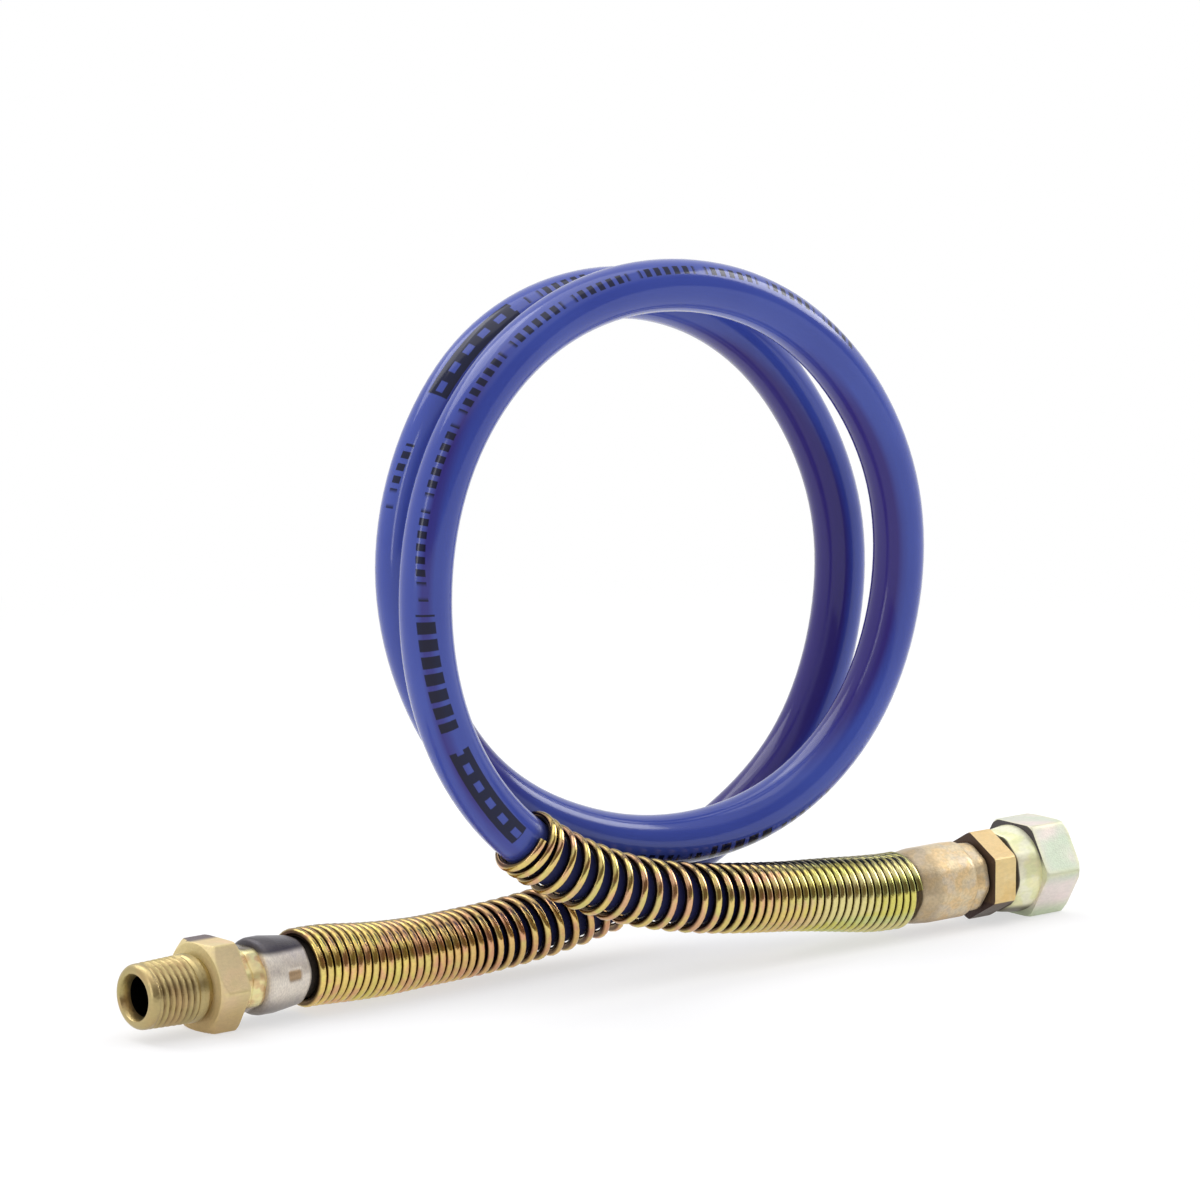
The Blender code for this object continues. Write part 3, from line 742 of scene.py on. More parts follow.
def mesh_piece(name, points, faces, material, body):
    """A finished piece from points and faces, smooth with sharp edges kept."""
    mesh = bpy.data.meshes.new(name)
    mesh.from_pydata([tuple(p) for p in points], [], faces)
    piece = new_object(name, mesh)
    mesh.materials.append(material)
    work = bmesh.new()
    work.from_mesh(mesh)
    bmesh.ops.remove_doubles(work, verts=work.verts, dist=MERGE_DISTANCE)
    bmesh.ops.recalc_face_normals(work, faces=work.faces)
    work.to_mesh(mesh)
    work.free()
    mesh.shade_smooth()
    mesh.set_sharp_from_angle(angle=SHARP_ANGLE)
    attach(piece, body)
    return piece


def turned(name, profile, axis, angles, material, body, shape=None, closed=False):
    """A shape turned about an axis along X. profile is (x, radius) pairs; shape, where given,
    takes x, radius and the angles and returns the radius at each angle. A closed profile comes
    back to its first point, and an open one starts and ends on the axis."""
    points = []
    for x, radius in profile:
        radii = np.full(len(angles), radius) if shape is None else shape(x, radius, angles)
        for r, a in zip(radii, angles):
            points.append((x, axis[0] + r * math.cos(a), axis[1] + r * math.sin(a)))
    count = len(angles)
    rings = len(profile)
    faces = []
    for i in range(rings if closed else rings - 1):
        here = i * count
        there = (i + 1) % rings * count
        for k in range(count):
            n = (k + 1) % count
            faces.append((here + k, here + n, there + n, there + k))
    return mesh_piece(name, points, faces, material, body)


def even_angles(count):
    return np.linspace(0, 2 * math.pi, count, endpoint=False)


def cornered_angles(sides, turn):
    """Angles that crowd near the corners of a bar with this many sides."""
    sector = 360 / sides
    scale = sector / 60
    degrees = set()
    for k in range(sides):
        corner = turn + k * sector
        for step in CORNER_STEPS:
            degrees.add(round((corner + step * scale) % 360, 6))
            degrees.add(round((corner - step * scale) % 360, 6))
    return np.radians(sorted(degrees))


def polygon_radii(inner, sides, turn, angles, sharpness=60):
    """Radius of a bar with flat sides and slightly rounded corners. inner is half the distance
    across its flats and turn the angle of a corner in degrees."""
    total = np.zeros(len(angles))
    for k in range(sides):
        face = math.radians(turn + (k + 0.5) * 360 / sides)
        total += np.clip(np.cos(angles - face), 0, 1) ** sharpness
    return inner * total ** (-1 / sharpness)


def smooth_least(first, second, rounding):
    """The lesser of two radii, with the edge between them rounded."""
    share = np.clip(0.5 + (second - first) / (2 * rounding), 0, 1)
    return second * (1 - share) + first * share - rounding * share * (1 - share)


def stations(start, end, count, crowd):
    """Places from start to end; a crowd over 1 puts more of them near both ends."""
    share = np.linspace(-1, 1, count)
    share = np.sign(share) * (1 - (1 - np.abs(share)) ** crowd)
    return start + (share + 1) / 2 * (end - start)


def thread_cut(x, start, end, angles, depth):
    """How far a right-handed thread cuts in at x, fading out over its last turns."""
    flank = 1.25
    crest = 0.08
    run_in = 0.8 * THREAD_PITCH
    run_out = 1.4 * THREAD_PITCH
    phase = (x - start) / THREAD_PITCH - angles / (2 * math.pi)
    wave = np.abs(2 * (phase % 1) - 1)
    cut = np.clip((1 - wave) * flank - crest, 0, 1)
    fade = np.clip((x - start) / run_in, 0, 1) * np.clip((end - x) / run_out, 0, 1)
    return depth * cut * fade


def store(piece, name, values):
    layer = piece.data.attributes.new(name, "FLOAT", "POINT")
    layer.data.foreach_set("value", np.asarray(values, np.float32))


def vertex_places(piece):
    return np.array([v.co for v in piece.data.vertices])


def add_rim(piece, start, end, flats, turn, axis):
    """Stores how near each point of a hexagonal bar is to an edge: 0 mid-face, 1 at an edge."""
    places = vertex_places(piece)
    angle = np.degrees(np.arctan2(places[:, 2] - axis[1], places[:, 1] - axis[0]))
    sector = 360 / HEX_SIDES
    from_mid = (angle - turn) % sector - sector / 2
    reach = flats / 2 * np.tan(np.radians(from_mid))
    across = np.abs(reach) / (flats / 2 * math.tan(math.radians(sector / 2)))
    lengthwise = np.abs(2 * (places[:, 0] - start) / (end - start) - 1)
    store(piece, "rim", np.maximum(across, lengthwise))


# Pieces


def violet_painted_shade_strength(centres, ahead, outwards):
    """How strong the cover's violet painted shade is. Each stretch of the two turns has its own
    sides for it, and only where the hose stands upright."""
    facing = np.degrees(np.arctan2(outwards[..., 1], outwards[..., 0])) % 360
    upright = np.abs(ahead[:, 2])
    right = centres[:, 0] > centres[:, 0].mean()
    first = centres[:, 1] > 0
    stretches = {
        "left, first turn": ~right & first, "left, second turn": ~right & ~first,
        "right, first turn": right & first, "right, second turn": right & ~first,
    }
    shade = np.zeros(facing.shape)
    for name, here in stretches.items():
        low, high, start, full = VIOLET_PAINTED_SHADE_SIDES[name]
        side = np.clip((facing - low) / VIOLET_PAINTED_SHADE_FADE, 0, 1)
        side = side * np.clip((high - facing) / VIOLET_PAINTED_SHADE_FADE, 0, 1)
        standing = np.clip((upright - start) / (full - start), 0, 1)
        shade += side * (here * standing)[:, None]
    return shade


def make_cover(route, material):
    """The hose: a round tube whose UV runs along and around it."""
    sides = HOSE_SIDES
    rings = int(route.length / HOSE_RING_GAP)
    distances = np.linspace(0, route.length, rings + 1)
    centres = route.places(distances)
    ahead = np.gradient(centres, axis=0)
    ahead /= np.linalg.norm(ahead, axis=1)[:, None]
    side = np.cross(ahead[0], (0, 0, 1))
    points = []
    for centre, direction in zip(centres, ahead):
        side = side - direction * np.dot(side, direction)
        side /= np.linalg.norm(side)
        up = np.cross(side, direction)
        for k in range(sides):
            a = 2 * math.pi * k / sides
            points.append(centre + HOSE_OD / 2 * (math.cos(a) * side + math.sin(a) * up))
    faces = []
    for i in range(rings):
        for k in range(sides):
            n = (k + 1) % sides
            here = i * sides
            there = here + sides
            faces.append((here + k, there + k, there + n, here + n))
    faces.append(tuple(range(sides)))
    faces.append(tuple(rings * sides + k for k in reversed(range(sides))))
    mesh = bpy.data.meshes.new("hose_cover")
    mesh.from_pydata([tuple(p) for p in points], [], faces)
    layer = mesh.uv_layers.new(name="cover")
    places = []
    for i in range(rings):
        for k in range(sides):
            low, high = i / rings, (i + 1) / rings
            left, right = k / sides, (k + 1) / sides
            places += [low, left, high, left, high, right, low, right]
    places += [0.0, 0.0] * sides + [1.0, 0.0] * sides
    layer.data.foreach_set("uv", places)
    mesh.materials.append(material)
    mesh.shade_smooth()
    mesh.set_sharp_from_angle(angle=HOSE_SHARP_ANGLE)
    piece = new_object("hose_cover", mesh)
    outwards = vertex_places(piece).reshape(rings + 1, sides, 3) - centres[:, None]
    store(piece, "painted_violet_shade", violet_painted_shade_strength(centres, ahead, outwards).ravel())
    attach(piece, BODY)
    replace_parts(piece, "hose")
    route.places(np.linspace(0, route.length, 231))


def coil_tree():
    """Geometry nodes: winds a wire around the route. Its points say where along the route they
    are, at what angle around it and how far out."""
    tree = bpy.data.node_groups.new("spring guard", "GeometryNodeTree")
    add_socket(tree, "INPUT", "Geometry", "Geometry")
    add_socket(tree, "INPUT", "Object", "Route")
    add_socket(tree, "INPUT", "Float", "Wire Radius")
    add_socket(tree, "INPUT", "Int", "Wire Sides")
    add_socket(tree, "INPUT", "Material", "Finish")
    add_socket(tree, "OUTPUT", "Geometry", "Geometry")
    inputs = node(tree, "NodeGroupInput").outputs
    outputs = node(tree, "NodeGroupOutput").inputs

    def stored(name):
        made = node(tree, "GeometryNodeInputNamedAttribute", data_type="FLOAT")
        made.inputs["Name"].default_value = name
        return made.outputs["Attribute"]

    def vector(operation, first, second):
        made = node(tree, "ShaderNodeVectorMath", operation=operation)
        link(tree, first, made.inputs[0])
        if isinstance(second, tuple):
            made.inputs[1].default_value = second
        elif operation == "SCALE":
            link(tree, second, made.inputs["Scale"])
        elif second is not None:
            link(tree, second, made.inputs[1])
        return made.outputs[0]

    route = node(tree, "GeometryNodeObjectInfo")
    link(tree, inputs["Route"], route.inputs[0])
    sample = node(tree, "GeometryNodeSampleCurve", mode="LENGTH", use_all_curves=True)
    link(tree, route.outputs["Geometry"], sample.inputs["Curves"])
    link(tree, stored("along"), sample.inputs["Length"])
    ahead = sample.outputs["Tangent"]
    side = vector("NORMALIZE", vector("CROSS_PRODUCT", ahead, (0, 0, 1)), None)
    up = vector("CROSS_PRODUCT", side, ahead)
    angle = stored("angle")
    reach = stored("reach")
    sideways = math_node(tree, "MULTIPLY", math_node(tree, "COSINE", angle), reach)
    upwards = math_node(tree, "MULTIPLY", math_node(tree, "SINE", angle), reach)
    offset = vector("ADD", vector("SCALE", side, sideways), vector("SCALE", up, upwards))
    heading = node(tree, "GeometryNodeStoreNamedAttribute", data_type="FLOAT_VECTOR")
    heading.inputs["Name"].default_value = "ahead"
    link(tree, inputs["Geometry"], heading.inputs["Geometry"])
    link(tree, ahead, heading.inputs["Value"])
    place = node(tree, "GeometryNodeSetPosition")
    link(tree, heading.outputs[0], place.inputs["Geometry"])
    link(tree, vector("ADD", sample.outputs["Position"], offset), place.inputs["Position"])
    line = node(tree, "GeometryNodeMeshToCurve")
    link(tree, place.outputs[0], line.inputs[0])
    ring = node(tree, "GeometryNodeCurvePrimitiveCircle")
    link(tree, inputs["Wire Sides"], ring.inputs["Resolution"])
    link(tree, inputs["Wire Radius"], ring.inputs["Radius"])
    sweep = node(tree, "GeometryNodeCurveToMesh")
    sweep.inputs["Fill Caps"].default_value = True
    link(tree, line.outputs[0], sweep.inputs["Curve"])
    link(tree, ring.outputs[0], sweep.inputs["Profile Curve"])
    carried = node(tree, "GeometryNodeInputNamedAttribute", data_type="FLOAT_VECTOR")
    carried.inputs["Name"].default_value = "ahead"
    facing = node(tree, "ShaderNodeVectorMath", operation="DOT_PRODUCT")
    link(tree, node(tree, "GeometryNodeInputNormal").outputs[0], facing.inputs[0])
    link(tree, carried.outputs["Attribute"], facing.inputs[1])
    # flank: how far the wire faces along the hose, read by the painted shade between the turns
    flank = node(tree, "GeometryNodeStoreNamedAttribute", data_type="FLOAT")
    flank.inputs["Name"].default_value = "flank"
    link(tree, sweep.outputs[0], flank.inputs["Geometry"])
    link(tree, math_node(tree, "ABSOLUTE", facing.outputs["Value"]), flank.inputs["Value"])
    smooth = node(tree, "GeometryNodeSetShadeSmooth")
    link(tree, flank.outputs[0], smooth.inputs["Geometry"])
    realize = node(tree, "GeometryNodeRealizeInstances")
    link(tree, smooth.outputs[0], realize.inputs[0])
    finish = node(tree, "GeometryNodeSetMaterial")
    link(tree, realize.outputs[0], finish.inputs["Geometry"])
    link(tree, inputs["Finish"], finish.inputs["Material"])
    link(tree, finish.outputs[0], outputs["Geometry"])
    return tree


def set_input(modifier, name, value):
    for item in modifier.node_group.interface.items_tree:
        if item.item_type == "SOCKET" and item.in_out == "INPUT" and item.name == name:
            modifier[item.identifier] = value


def guard_pitches(turns):
    """The advance of each turn of a guard, from the ferrule to its end on the hose."""
    pitches = [CLOSE_PITCH] * turns["close"]
    for i in range(turns["ramp"]):
        share = ((i + 1) / (turns["ramp"] + 1)) ** turns["ease"]
        pitches.append(CLOSE_PITCH + (OPEN_PITCH - CLOSE_PITCH) * share)
    return pitches + [OPEN_PITCH] * turns["open"] + [END_PITCH] * END_TURNS


def make_guard(name, seat, away, turns, end_angle, route_curve, tree, material):
    """A spring guard of round wire, wound by the coil tree. away is 1 where it runs along the
    route and -1 where it runs against it."""
    pitches = guard_pitches(turns)
    advance = np.concatenate([[0], np.cumsum(pitches)])
    turn = np.arange(len(pitches) * COIL_STEPS + 1) / COIL_STEPS
    angle = end_angle - away * 2 * math.pi * turn
    on_hose = HOSE_OD / 2 + WIRE_GAP + WIRE_OD / 2
    on_tail = TAIL_RADIUS + WIRE_GAP + WIRE_OD / 2
    narrowing = np.clip((turn - FLARED_TURNS) / NARROWING_TURNS, 0, 1)
    facts = {
        "along": seat + away * np.interp(turn, np.arange(len(advance)), advance),
        "angle": angle,
        "reach": on_tail + (on_hose - on_tail) * narrowing,
        "turn": turn,
        # height is also read by the painted shade on the coils' tops
        "height": np.sin(angle),
        "share": turn / turn[-1],
    }
    mesh = bpy.data.meshes.new(name + "_line")
    count = len(turn)
    mesh.from_pydata([(0, 0, 0)] * count, [(i, i + 1) for i in range(count - 1)], [])
    source = new_object(name + "_line", mesh)
    for key, values in facts.items():
        store(source, key, values)
    wind = source.modifiers.new("wind", "NODES")
    wind.node_group = tree
    set_input(wind, "Route", route_curve)
    set_input(wind, "Wire Radius", WIRE_OD / 2)
    set_input(wind, "Wire Sides", WIRE_SIDES)
    set_input(wind, "Finish", material)
    evaluated = source.evaluated_get(bpy.context.evaluated_depsgraph_get())
    wound = bpy.data.meshes.new_from_object(evaluated)
    wound.name = name
    bpy.data.objects.remove(source)
    piece = new_object(name, wound)
    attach(piece, BODY)
    return piece


def make_route_curve(route):
    """The route as a curve that the coil tree samples."""
    points = route.places(np.linspace(0, route.length, COIL_ROUTE_POINTS))
    data = bpy.data.curves.new("route", "CURVE")
    data.dimensions = "3D"
    spline = data.splines.new("POLY")
    spline.points.add(len(points) - 1)
    for target, point in zip(spline.points, points):
        target.co = (*point, 1)
    return new_object("route", data)


def make_male_thread(material):
    """The male end's threaded body, with its rounded nose and open mouth."""
    start = MALE_TIP_X + 0.0016
    end = MALE_TIP_X + 0.0122
    nose = 0.0014
    thinnest = 0.0055
    bore_reach = 0.00402

    def outer(x):
        return THREAD_LARGE_RADIUS - THREAD_TAPER * (MALE_TIP_X + THREAD_LENGTH - x)

    mouth = [
        (0.0130, 0), (0.0110, 0.0018), (0.0100, 0.0036), (0.0085, 0.0040), (0.0024, 0.0040),
        (0.0020, 0.00405), (0.0003, 0.00452), (0.00006, 0.00470),
    ]
    run_out = [(0.01315, 0.00684), (0.01335, 0.00672), (0.01350, 0.00640), (0.01362, 0.00600)]
    profile = [(MALE_TIP_X + x, radius) for x, radius in mouth]
    rim = outer(MALE_TIP_X + nose) - nose
    for k in range(9):
        a = math.pi / 2 * k / 8
        profile.append((MALE_TIP_X + nose * (1 - math.cos(a)), rim + nose * math.sin(a)))
    rings = int((end - start) / (THREAD_PITCH / RINGS_PER_PITCH))
    profile += [(x, outer(x)) for x in np.linspace(start, end, rings)]
    profile += [(MALE_TIP_X + x, radius) for x, radius in run_out]
    profile += [(MALE_HEX_X + 0.0004, 0.00600), (MALE_HEX_X + 0.0004, 0)]

    def shape(x, radius, angles):
        if not start <= x <= end or radius < thinnest:
            return np.full(len(angles), radius)
        return radius - thread_cut(x, start, end, angles, THREAD_DEPTH)

    piece = turned(
        "male_thread", profile, MALE_AXIS, even_angles(THREAD_SIDES), material, BODY,
        shape,
    )
    places = vertex_places(piece)
    x = places[:, 0]
    radius = np.hypot(places[:, 1] - MALE_Y, places[:, 2] - MALE_Z)
    threaded = (x >= start) & (x <= end) & (radius > thinnest)
    # groove depth and bore, read by the painted shade in them
    store(piece, "groove", np.where(threaded, (outer(x) - radius) / THREAD_DEPTH, 0))
    store(piece, "bore", (radius < bore_reach) & (x > MALE_TIP_X + 0.0022))
    return piece


def make_bar(name, start, end, flats, turn, chamfers, axis, material, body, hole=0.0):
    """A hexagonal bar with chamfered corners. chamfers are, for each end, the radius that the
    corners are cut to there and the length of the cut. A hole makes it a ring."""
    half = flats / 2
    corner = half / math.cos(math.radians(30))
    angles = cornered_angles(HEX_SIDES, turn)

    def shape(x, radius, angles):
        if radius < half * 0.99:
            return np.full(len(angles), radius)
        sides = polygon_radii(half, HEX_SIDES, turn, angles)
        for edge, (cut, length), away in ((start, chamfers[0], 1), (end, chamfers[1], -1)):
            limit = cut + (corner - cut) * (x - edge) * away / length
            sides = smooth_least(sides, np.full(len(angles), limit), EDGE_ROUNDING)
        return sides

    places = [start, start + 0.00005, start + 0.00015]
    places += list(stations(start + 0.0003, end - 0.0003, 22, 2.2))
    places += [end - 0.00015, end - 0.00005, end]
    inner = half * 0.96 - 0.00009
    outer = [(x, half) for x in places]
    profile = [(start, hole), (start, inner), *outer, (end, inner), (end, hole)]
    piece = turned(name, profile, axis, angles, material, body, shape, closed=bool(hole))
    add_rim(piece, start, end, flats, turn, axis)
    return piece


def make_male_hexagon(material):
    """The male end's hexagon. The far half of its top gets a painted dark reflection."""
    piece = make_bar(
        "male_hexagon", MALE_HEX_X, MALE_NECK_X, MALE_HEX_FLATS, 0,
        ((0.0086, 0.0011), (0.0096, 0.0004)), MALE_AXIS, material, BODY,
    )
    # mask for the painted dark reflection on the far half of the top
    places = vertex_places(piece)
    top = places[:, 2] > MALE_Z + 0.0086
    store(piece, "far_top", top * np.clip((places[:, 1] - MALE_Y + 0.0005) / 0.003, 0, 1))


def make_male_collar(material):
    """The grooved neck behind the male hexagon, and the crimped yellow collar."""
    end = MALE_FERRULE_X + 0.0004
    sides = 7
    turn = 12
    profile = [
        (MALE_NECK_X - 0.0005, 0), (MALE_NECK_X - 0.0005, 0.0056),
        (MALE_NECK_X + 0.0009, 0.0056), (MALE_NECK_X + 0.0011, 0.0060),
        (MALE_NECK_X + 0.0014, 0.0064), (MALE_NECK_X + 0.0022, 0.0066),
        (MALE_NECK_X + 0.0027, 0.0066), (MALE_NECK_X + 0.0029, 0.0064),
        (MALE_NECK_X + 0.0031, 0.0066), (MALE_NECK_X + 0.0036, 0.0067),
        (end - 0.0014, 0.0067), (end - 0.0006, 0.0065), (end, 0.0061), (end, 0),
    ]

    def shape(x, radius, angles):
        if radius < 0.0059:
            return np.full(len(angles), radius)
        return np.minimum(radius, polygon_radii(radius * 0.955, sides, turn, angles, 40))

    turned(
        "male_collar", profile, MALE_AXIS, cornered_angles(sides, turn), material, BODY,
        shape,
    )


def make_male_ferrule(material):
    """The male end's crimped sleeve, narrowing towards the guard, with one die mark."""
    start = MALE_FERRULE_X
    end = MALE_FERRULE_END_X
    outer = [
        (start, 0.0066), (start + 0.0002, 0.0071), (start + 0.0006, 0.0075),
        (start + 0.0014, 0.0077), (start + 0.0040, 0.0077),
    ]
    for x in np.linspace(start + 0.0044, end - 0.0008, 22):
        outer.append((x, 0.0077 - 0.0009 * (x - start - 0.0040) / 0.0068))
    outer += [(end - 0.0004, 0.00675), (end - 0.0001, 0.0065), (end, 0.0062)]
    outer += [(end, TAIL_RADIUS), (end + 0.0055, TAIL_RADIUS), (end + 0.0055, 0.0055)]
    inner = [(start + 0.0018, 0.0055), (start + 0.0018, 0.0048), (start, 0.0048)]
    dent_x = start + 0.0063
    dent_angle = math.radians(174)

    def shape(x, radius, angles):
        if radius < 0.0064:
            return np.full(len(angles), radius)
        away = np.abs((angles - dent_angle + math.pi) % (2 * math.pi) - math.pi) * radius
        lengthwise = max(0, min(1, (0.0020 - abs(x - dent_x)) / 0.0003))
        dent = np.clip((0.0013 - away) / 0.0003, 0, 1) * lengthwise
        crimp = 0.00012 * np.cos(6 * angles) * max(0, min(1, (x - start) / 0.006))
        return radius - 0.0003 * dent + crimp

    piece = turned(
        "male_ferrule_sleeve", outer + inner, MALE_AXIS, even_angles(120), material, BODY,
        shape, closed=True,
    )
    places = vertex_places(piece)
    angle = np.arctan2(places[:, 2] - MALE_Z, places[:, 1] - MALE_Y) % (2 * math.pi)
    away = np.abs(angle - dent_angle) * 0.0072
    near = np.abs(places[:, 0] - dent_x)
    outside = np.hypot(places[:, 1] - MALE_Y, places[:, 2] - MALE_Z) > 0.0063
    mark = np.clip((0.0015 - away) / 0.0009, 0, 1) * np.clip((0.0022 - near) / 0.0009, 0, 1)
    store(piece, "dent", outside * mark)
    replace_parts(piece, "male_ferrule")


def make_swivel_ferrule(material):
    """The swivel end's crimped sleeve: faceted barrel, groove and bead."""
    start = SWIVEL_BARREL_X
    groove = SWIVEL_GROOVE_X
    end = SWIVEL_BEAD_END_X
    sides = 8
    turn = 10
    tail = [(start, 0.0066), (start, TAIL_RADIUS), (start - 0.0055, TAIL_RADIUS)]
    tail += [(start - 0.0055, 0.0055), (end - 0.0018, 0.0055), (end - 0.0018, 0.0048)]
    outer = [(end, 0.0048), (end, 0.0064), (end - 0.0002, 0.0068), (end - 0.0006, 0.0071)]
    outer += [(end - 0.0018, 0.00722), (groove + 0.0008, 0.0071), (groove + 0.0003, 0.0069)]
    outer += [(groove, 0.0069), (groove - 0.0003, 0.0073), (groove - 0.0008, 0.0078)]
    outer += [(x, 0.0080) for x in np.linspace(groove - 0.0014, start + 0.0046, 14)]
    outer += [(start + 0.0038, 0.00795), (start + 0.0028, 0.0078), (start + 0.0016, 0.0076)]
    outer += [(start + 0.0006, 0.0074), (start + 0.0002, 0.0072), (start, 0.0069)]

    def shape(x, radius, angles):
        if radius < 0.0065:
            return np.full(len(angles), radius)
        flat = polygon_radii(radius * 0.972, sides, turn, angles, 30)
        return np.minimum(radius * 1.006, flat)

    piece = turned(
        "swivel_ferrule_sleeve", outer + tail, SWIVEL_AXIS, cornered_angles(sides, turn),
        material, BODY, shape, closed=True,
    )
    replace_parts(piece, "swivel_ferrule")


def make_swivel_insert(material):
    """The swivel end's hexagon, and the neck, flange and cone nose inside the nut."""
    bar = make_bar(
        "swivel_hexagon", SWIVEL_HEX_X, SWIVEL_HEX_END_X, SWIVEL_HEX_FLATS, 30,
        ((0.0089, 0.0002), (0.0089, 0.0002)), SWIVEL_AXIS, material, BODY,
    )
    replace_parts(bar, "swivel_insert")
    flange = 0.09685
    nose = 0.09845
    profile = [
        (SWIVEL_HEX_END_X - 0.001, 0), (SWIVEL_HEX_END_X - 0.001, 0.0047), (flange, 0.0047),
        (flange, 0.0056), (flange + 0.0002, 0.00575), (nose - 0.0002, 0.00575),
        (nose, 0.0056), (nose + 0.0039, 0.0034), (nose + 0.0040, 0.0031), (nose + 0.0040, 0.0019),
        (nose + 0.0036, 0.0018), (SWIVEL_HEX_X, 0.0018), (SWIVEL_HEX_X, 0),
    ]
    turned(
        "swivel_nose", profile, SWIVEL_AXIS, even_angles(64), material, BODY,
    )


def make_nut(face_material, collar_material):
    """The swivel nut: hexagon with a threaded mouth, and its staked collar."""
    bar = make_bar(
        "nut_hexagon", NUT_HEX_X, NUT_END_X, NUT_FLATS, 0,
        ((0.0105, 0.0005), (0.0102, 0.0007)), SWIVEL_AXIS, face_material, "nut",
        hole=0.00675,
    )
    places = vertex_places(bar)
    # mask for the painted shade on the upper part of the hexagon's end face
    raised = np.clip((places[:, 2] - SWIVEL_Z - 0.0005) / 0.004, 0, 1)
    store(bar, "back", (places[:, 0] < NUT_HEX_X + 0.00002) * raised)
    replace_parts(bar, "swivel_nut")
    lip = NUT_COLLAR_X + 0.0030
    sides = 10
    turn = 8
    collar = [
        (NUT_HEX_X + 0.0004, 0.0066), (NUT_HEX_X + 0.0004, 0.0090),
        (NUT_HEX_X - 0.0003, 0.00905), (NUT_HEX_X - 0.0012, 0.0090),
        (NUT_HEX_X - 0.0028, 0.0088), (NUT_HEX_X - 0.0042, 0.0086),
        (NUT_COLLAR_X + 0.0006, 0.00845), (NUT_COLLAR_X + 0.0002, 0.0082),
        (NUT_COLLAR_X, 0.0078), (NUT_COLLAR_X, 0.0050), (lip, 0.0050), (lip, 0.0066),
    ]

    def staked(x, radius, angles):
        if radius < 0.0080:
            return np.full(len(angles), radius)
        depth = max(0, min(1, (NUT_HEX_X - 0.0006 - x) / 0.0015))
        flat = np.minimum(radius, polygon_radii(radius * 0.975, sides, turn, angles, 50))
        return radius * (1 - depth) + flat * depth

    turned(
        "nut_collar", collar, SWIVEL_AXIS, cornered_angles(sides, turn), collar_material,
        "nut", staked, closed=True,
    )
    start = NUT_COLLAR_X + 0.0060
    end = NUT_END_X
    crest = 0.00605
    rings = int((end - start) / (THREAD_PITCH / RINGS_PER_PITCH))
    bore = [(start, 0.0069), (start, crest)]
    bore += [(x, crest) for x in np.linspace(start + 0.0001, end - 0.0010, rings)]
    bore += [(end - 0.0006, 0.00640), (end - 0.00005, 0.00690), (end - 0.00005, 0.00695)]

    def threaded(x, radius, angles):
        if radius != crest or x <= start:
            return np.full(len(angles), radius)
        return radius + thread_cut(x, start, end, angles, NUT_THREAD_DEPTH)

    turned(
        "nut_thread", bore, SWIVEL_AXIS, even_angles(THREAD_SIDES), collar_material, "nut",
        threaded, closed=True,
    )


def make_floor():
    """A plain white floor. The camera sees it lifted towards white, with a soft shadow left under
    the object."""
    mesh = bpy.data.meshes.new("floor")
    corners = [(-1, -1), (1, -1), (1, 1), (-1, 1)]
    mesh.from_pydata([(FLOOR_HALF * x, FLOOR_HALF * y, 0) for x, y in corners], [], [(0, 1, 2, 3)])
    floor = new_object("floor", mesh)
    floor.location.z = -FLOOR_DROP
    material, tree, shader = new_material("pale floor")
    shader.inputs["Base Color"].default_value = FLOOR_COLOUR
    shader.inputs["Roughness"].default_value = FLOOR_ROUGHNESS
    shader.inputs["Specular IOR Level"].default_value = FLOOR_SPECULAR
    white = node(tree, "ShaderNodeEmission")
    distance = node(tree, "ShaderNodeVectorMath", operation="LENGTH")
    link(tree, object_place(tree), distance.inputs[0])
    lift = soft_step(tree, distance.outputs["Value"], *FLOOR_WHITE, FLOOR_LIFT, 1.0)
    path = node(tree, "ShaderNodeLightPath")
    seen_by = math_node(
        tree, "MAXIMUM", path.outputs["Is Camera Ray"], path.outputs["Is Glossy Ray"]
    )
    seen = node(tree, "ShaderNodeMixShader")
    link(tree, math_node(tree, "MULTIPLY", lift, seen_by), seen.inputs[0])
    link(tree, shader.outputs[0], seen.inputs[1])
    link(tree, white.outputs[0], seen.inputs[2])
    link(tree, seen.outputs[0], tree.nodes["Material Output"].inputs["Surface"])
    mesh.materials.append(material)


def make_world():
    """Studio surroundings: white to the camera, and otherwise a pale room with a dark part low
    down in front, behind the photographer."""
    world = bpy.data.worlds.new("studio")
    bpy.context.scene.world = world
    world.use_nodes = True
    tree = world.node_tree
    background = tree.nodes["Background"]
    direction = node(tree, "ShaderNodeTexCoord").outputs["Generated"]
    height = parts_of(tree, direction)[2]
    low_band = band(tree, height, *DARK_HEIGHTS, DARK_HEIGHT_FADE)
    toward = node(tree, "ShaderNodeVectorMath", operation="DOT_PRODUCT")
    link(tree, direction, toward.inputs[0])
    toward.inputs[1].default_value = DARK_SIDE
    front = soft_step(tree, toward.outputs["Value"], *DARK_EDGE)
    dark = math_node(tree, "MULTIPLY", low_band, front)
    mirrored = mix_colour(tree, dark, ROOM_MIRRORED, DARK_MIRRORED)
    soft = mix_colour(tree, dark, ROOM_SOFT, DARK_SOFT)
    path = node(tree, "ShaderNodeLightPath")
    room = mix_colour(tree, path.outputs["Is Glossy Ray"], soft, mirrored)
    seen = mix_colour(tree, path.outputs["Is Camera Ray"], room, WHITE)
    link(tree, seen, background.inputs["Color"])
    background.inputs["Strength"].default_value = 1.0


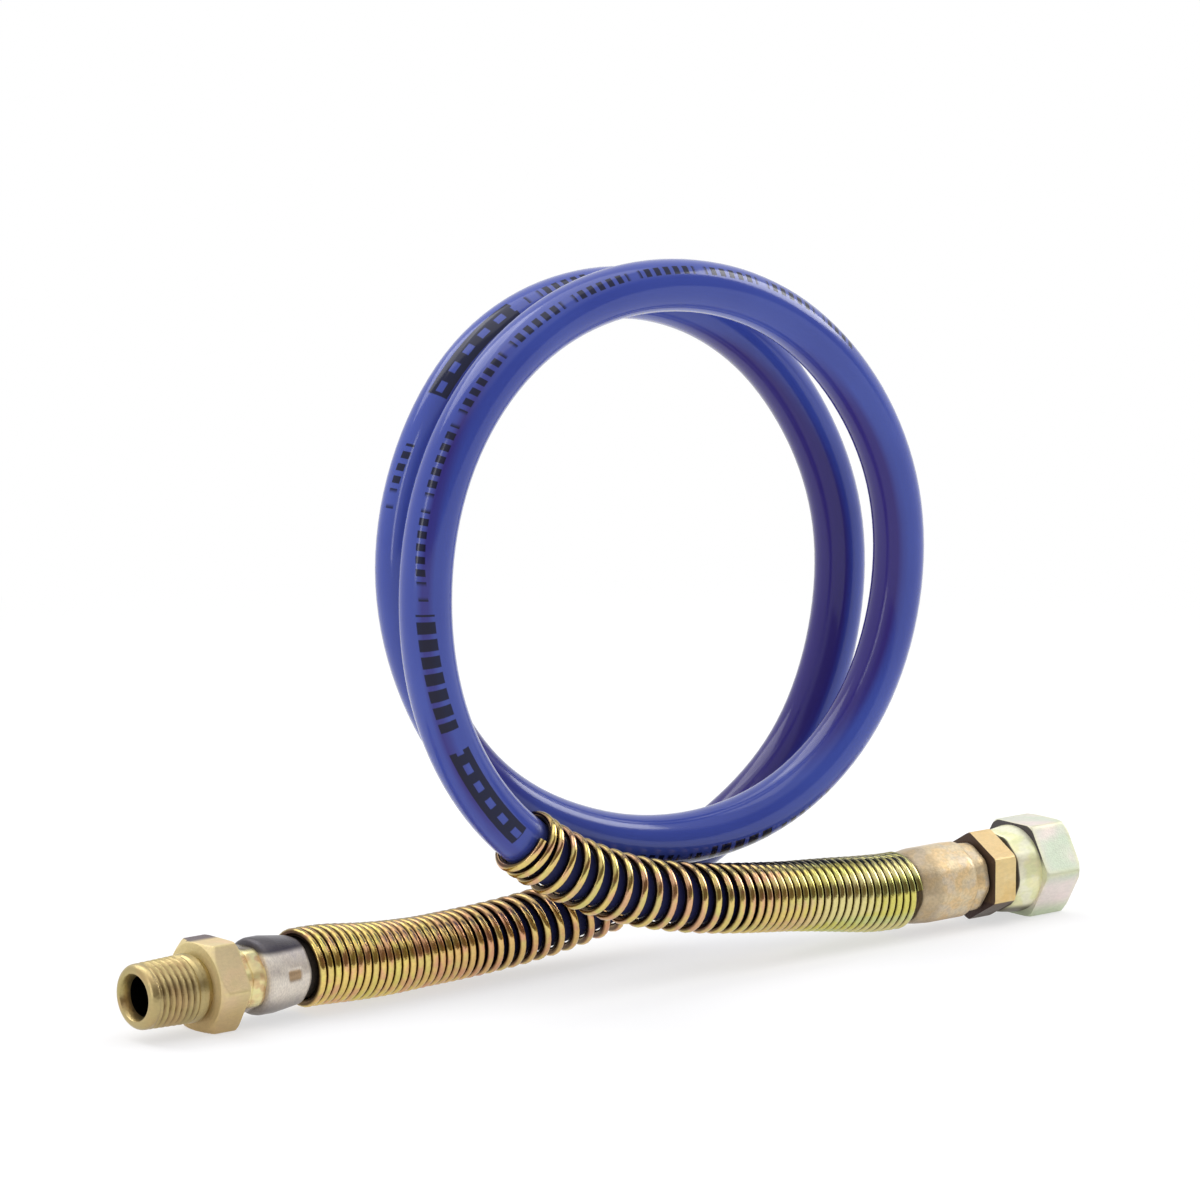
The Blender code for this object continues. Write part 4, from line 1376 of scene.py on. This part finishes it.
def add_light(name, place, size, watts):
    data = bpy.data.lights.new(name, "AREA")
    data.shape = "RECTANGLE"
    data.size, data.size_y = size
    data.energy = watts
    light = new_object(name, data)
    light.location = place
    to_aim = Vector(LIGHT_AIM) - Vector(place)
    light.rotation_euler = to_aim.to_track_quat("-Z", "Y").to_euler()


def make_camera():
    data = bpy.data.cameras.new("camera")
    data.lens = VIEW_LENS
    data.sensor_width = SENSOR_WIDTH
    data.sensor_fit = "HORIZONTAL"
    data.clip_start, data.clip_end = VIEW_RANGE
    camera = new_object("camera", data)
    forward = Vector((
        math.sin(VIEW_TURN) * math.cos(VIEW_DOWN),
        math.cos(VIEW_TURN) * math.cos(VIEW_DOWN),
        -math.sin(VIEW_DOWN),
    ))
    camera.location = Vector(VIEW_TARGET) - forward * VIEW_DISTANCE
    camera.rotation_euler = forward.to_track_quat("-Z", "Y").to_euler()
    bpy.context.scene.camera = camera


# The scene

GROUPS = {"plating": plating_group(), "wear": wear_group()}
materials = {
    "guard": plated_material("yellow plated wire", SWIVEL_GUARD_LOOK, by_turn),
    "male_guard": plated_material("copper yellow plated wire", MALE_GUARD_LOOK, by_turn),
    "male": plated_material("yellow plated thread", MALE_LOOK),
    "male_hex": plated_material("matt yellow hexagon", MALE_HEX_LOOK),
    "male_collar": plated_material("bright yellow collar", COLLAR_LOOK),
    "male_ferrule": plated_material("grey crimped sleeve", MALE_FERRULE_LOOK),
    "swivel_ferrule": plated_material("golden crimped sleeve", SWIVEL_FERRULE_LOOK),
    "swivel_hex": plated_material("gold hexagon", SWIVEL_HEX_LOOK),
    "nut_faces": plated_material("pale iridescent nut", NUT_LOOK),
    "nut_collar": plated_material("pale yellow collar", NUT_COLLAR_LOOK),
}

make_camera()
make_world()
make_floor()
for light in LIGHTS:
    add_light(*light)

route = hose_route()
hose_length = float(route.length)
male_seat, swivel_seat = guard_seats(hose_length)
make_cover(route, cover_material(hose_length))
route_curve = make_route_curve(route)
winding = coil_tree()
male_guard = make_guard(
    "male_guard_coil", male_seat, 1, MALE_GUARD_TURNS, MALE_WIRE_END_ANGLE, route_curve,
    winding, materials["male_guard"],
)
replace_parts(male_guard, "male_spring_guard")
swivel_guard = make_guard(
    "swivel_guard_coil", swivel_seat, -1, SWIVEL_GUARD_TURNS, SWIVEL_WIRE_END_ANGLE, route_curve,
    winding, materials["guard"],
)
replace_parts(swivel_guard, "swivel_spring_guard")
bpy.data.objects.remove(route_curve)

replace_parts(make_male_thread(materials["male"]), "male_insert")
make_male_hexagon(materials["male_hex"])
make_male_collar(materials["male_collar"])
make_male_ferrule(materials["male_ferrule"])
make_swivel_ferrule(materials["swivel_ferrule"])
make_swivel_insert(materials["swivel_hex"])
make_nut(materials["nut_faces"], materials["nut_collar"])

bpy.context.scene.view_settings.view_transform = "Standard"
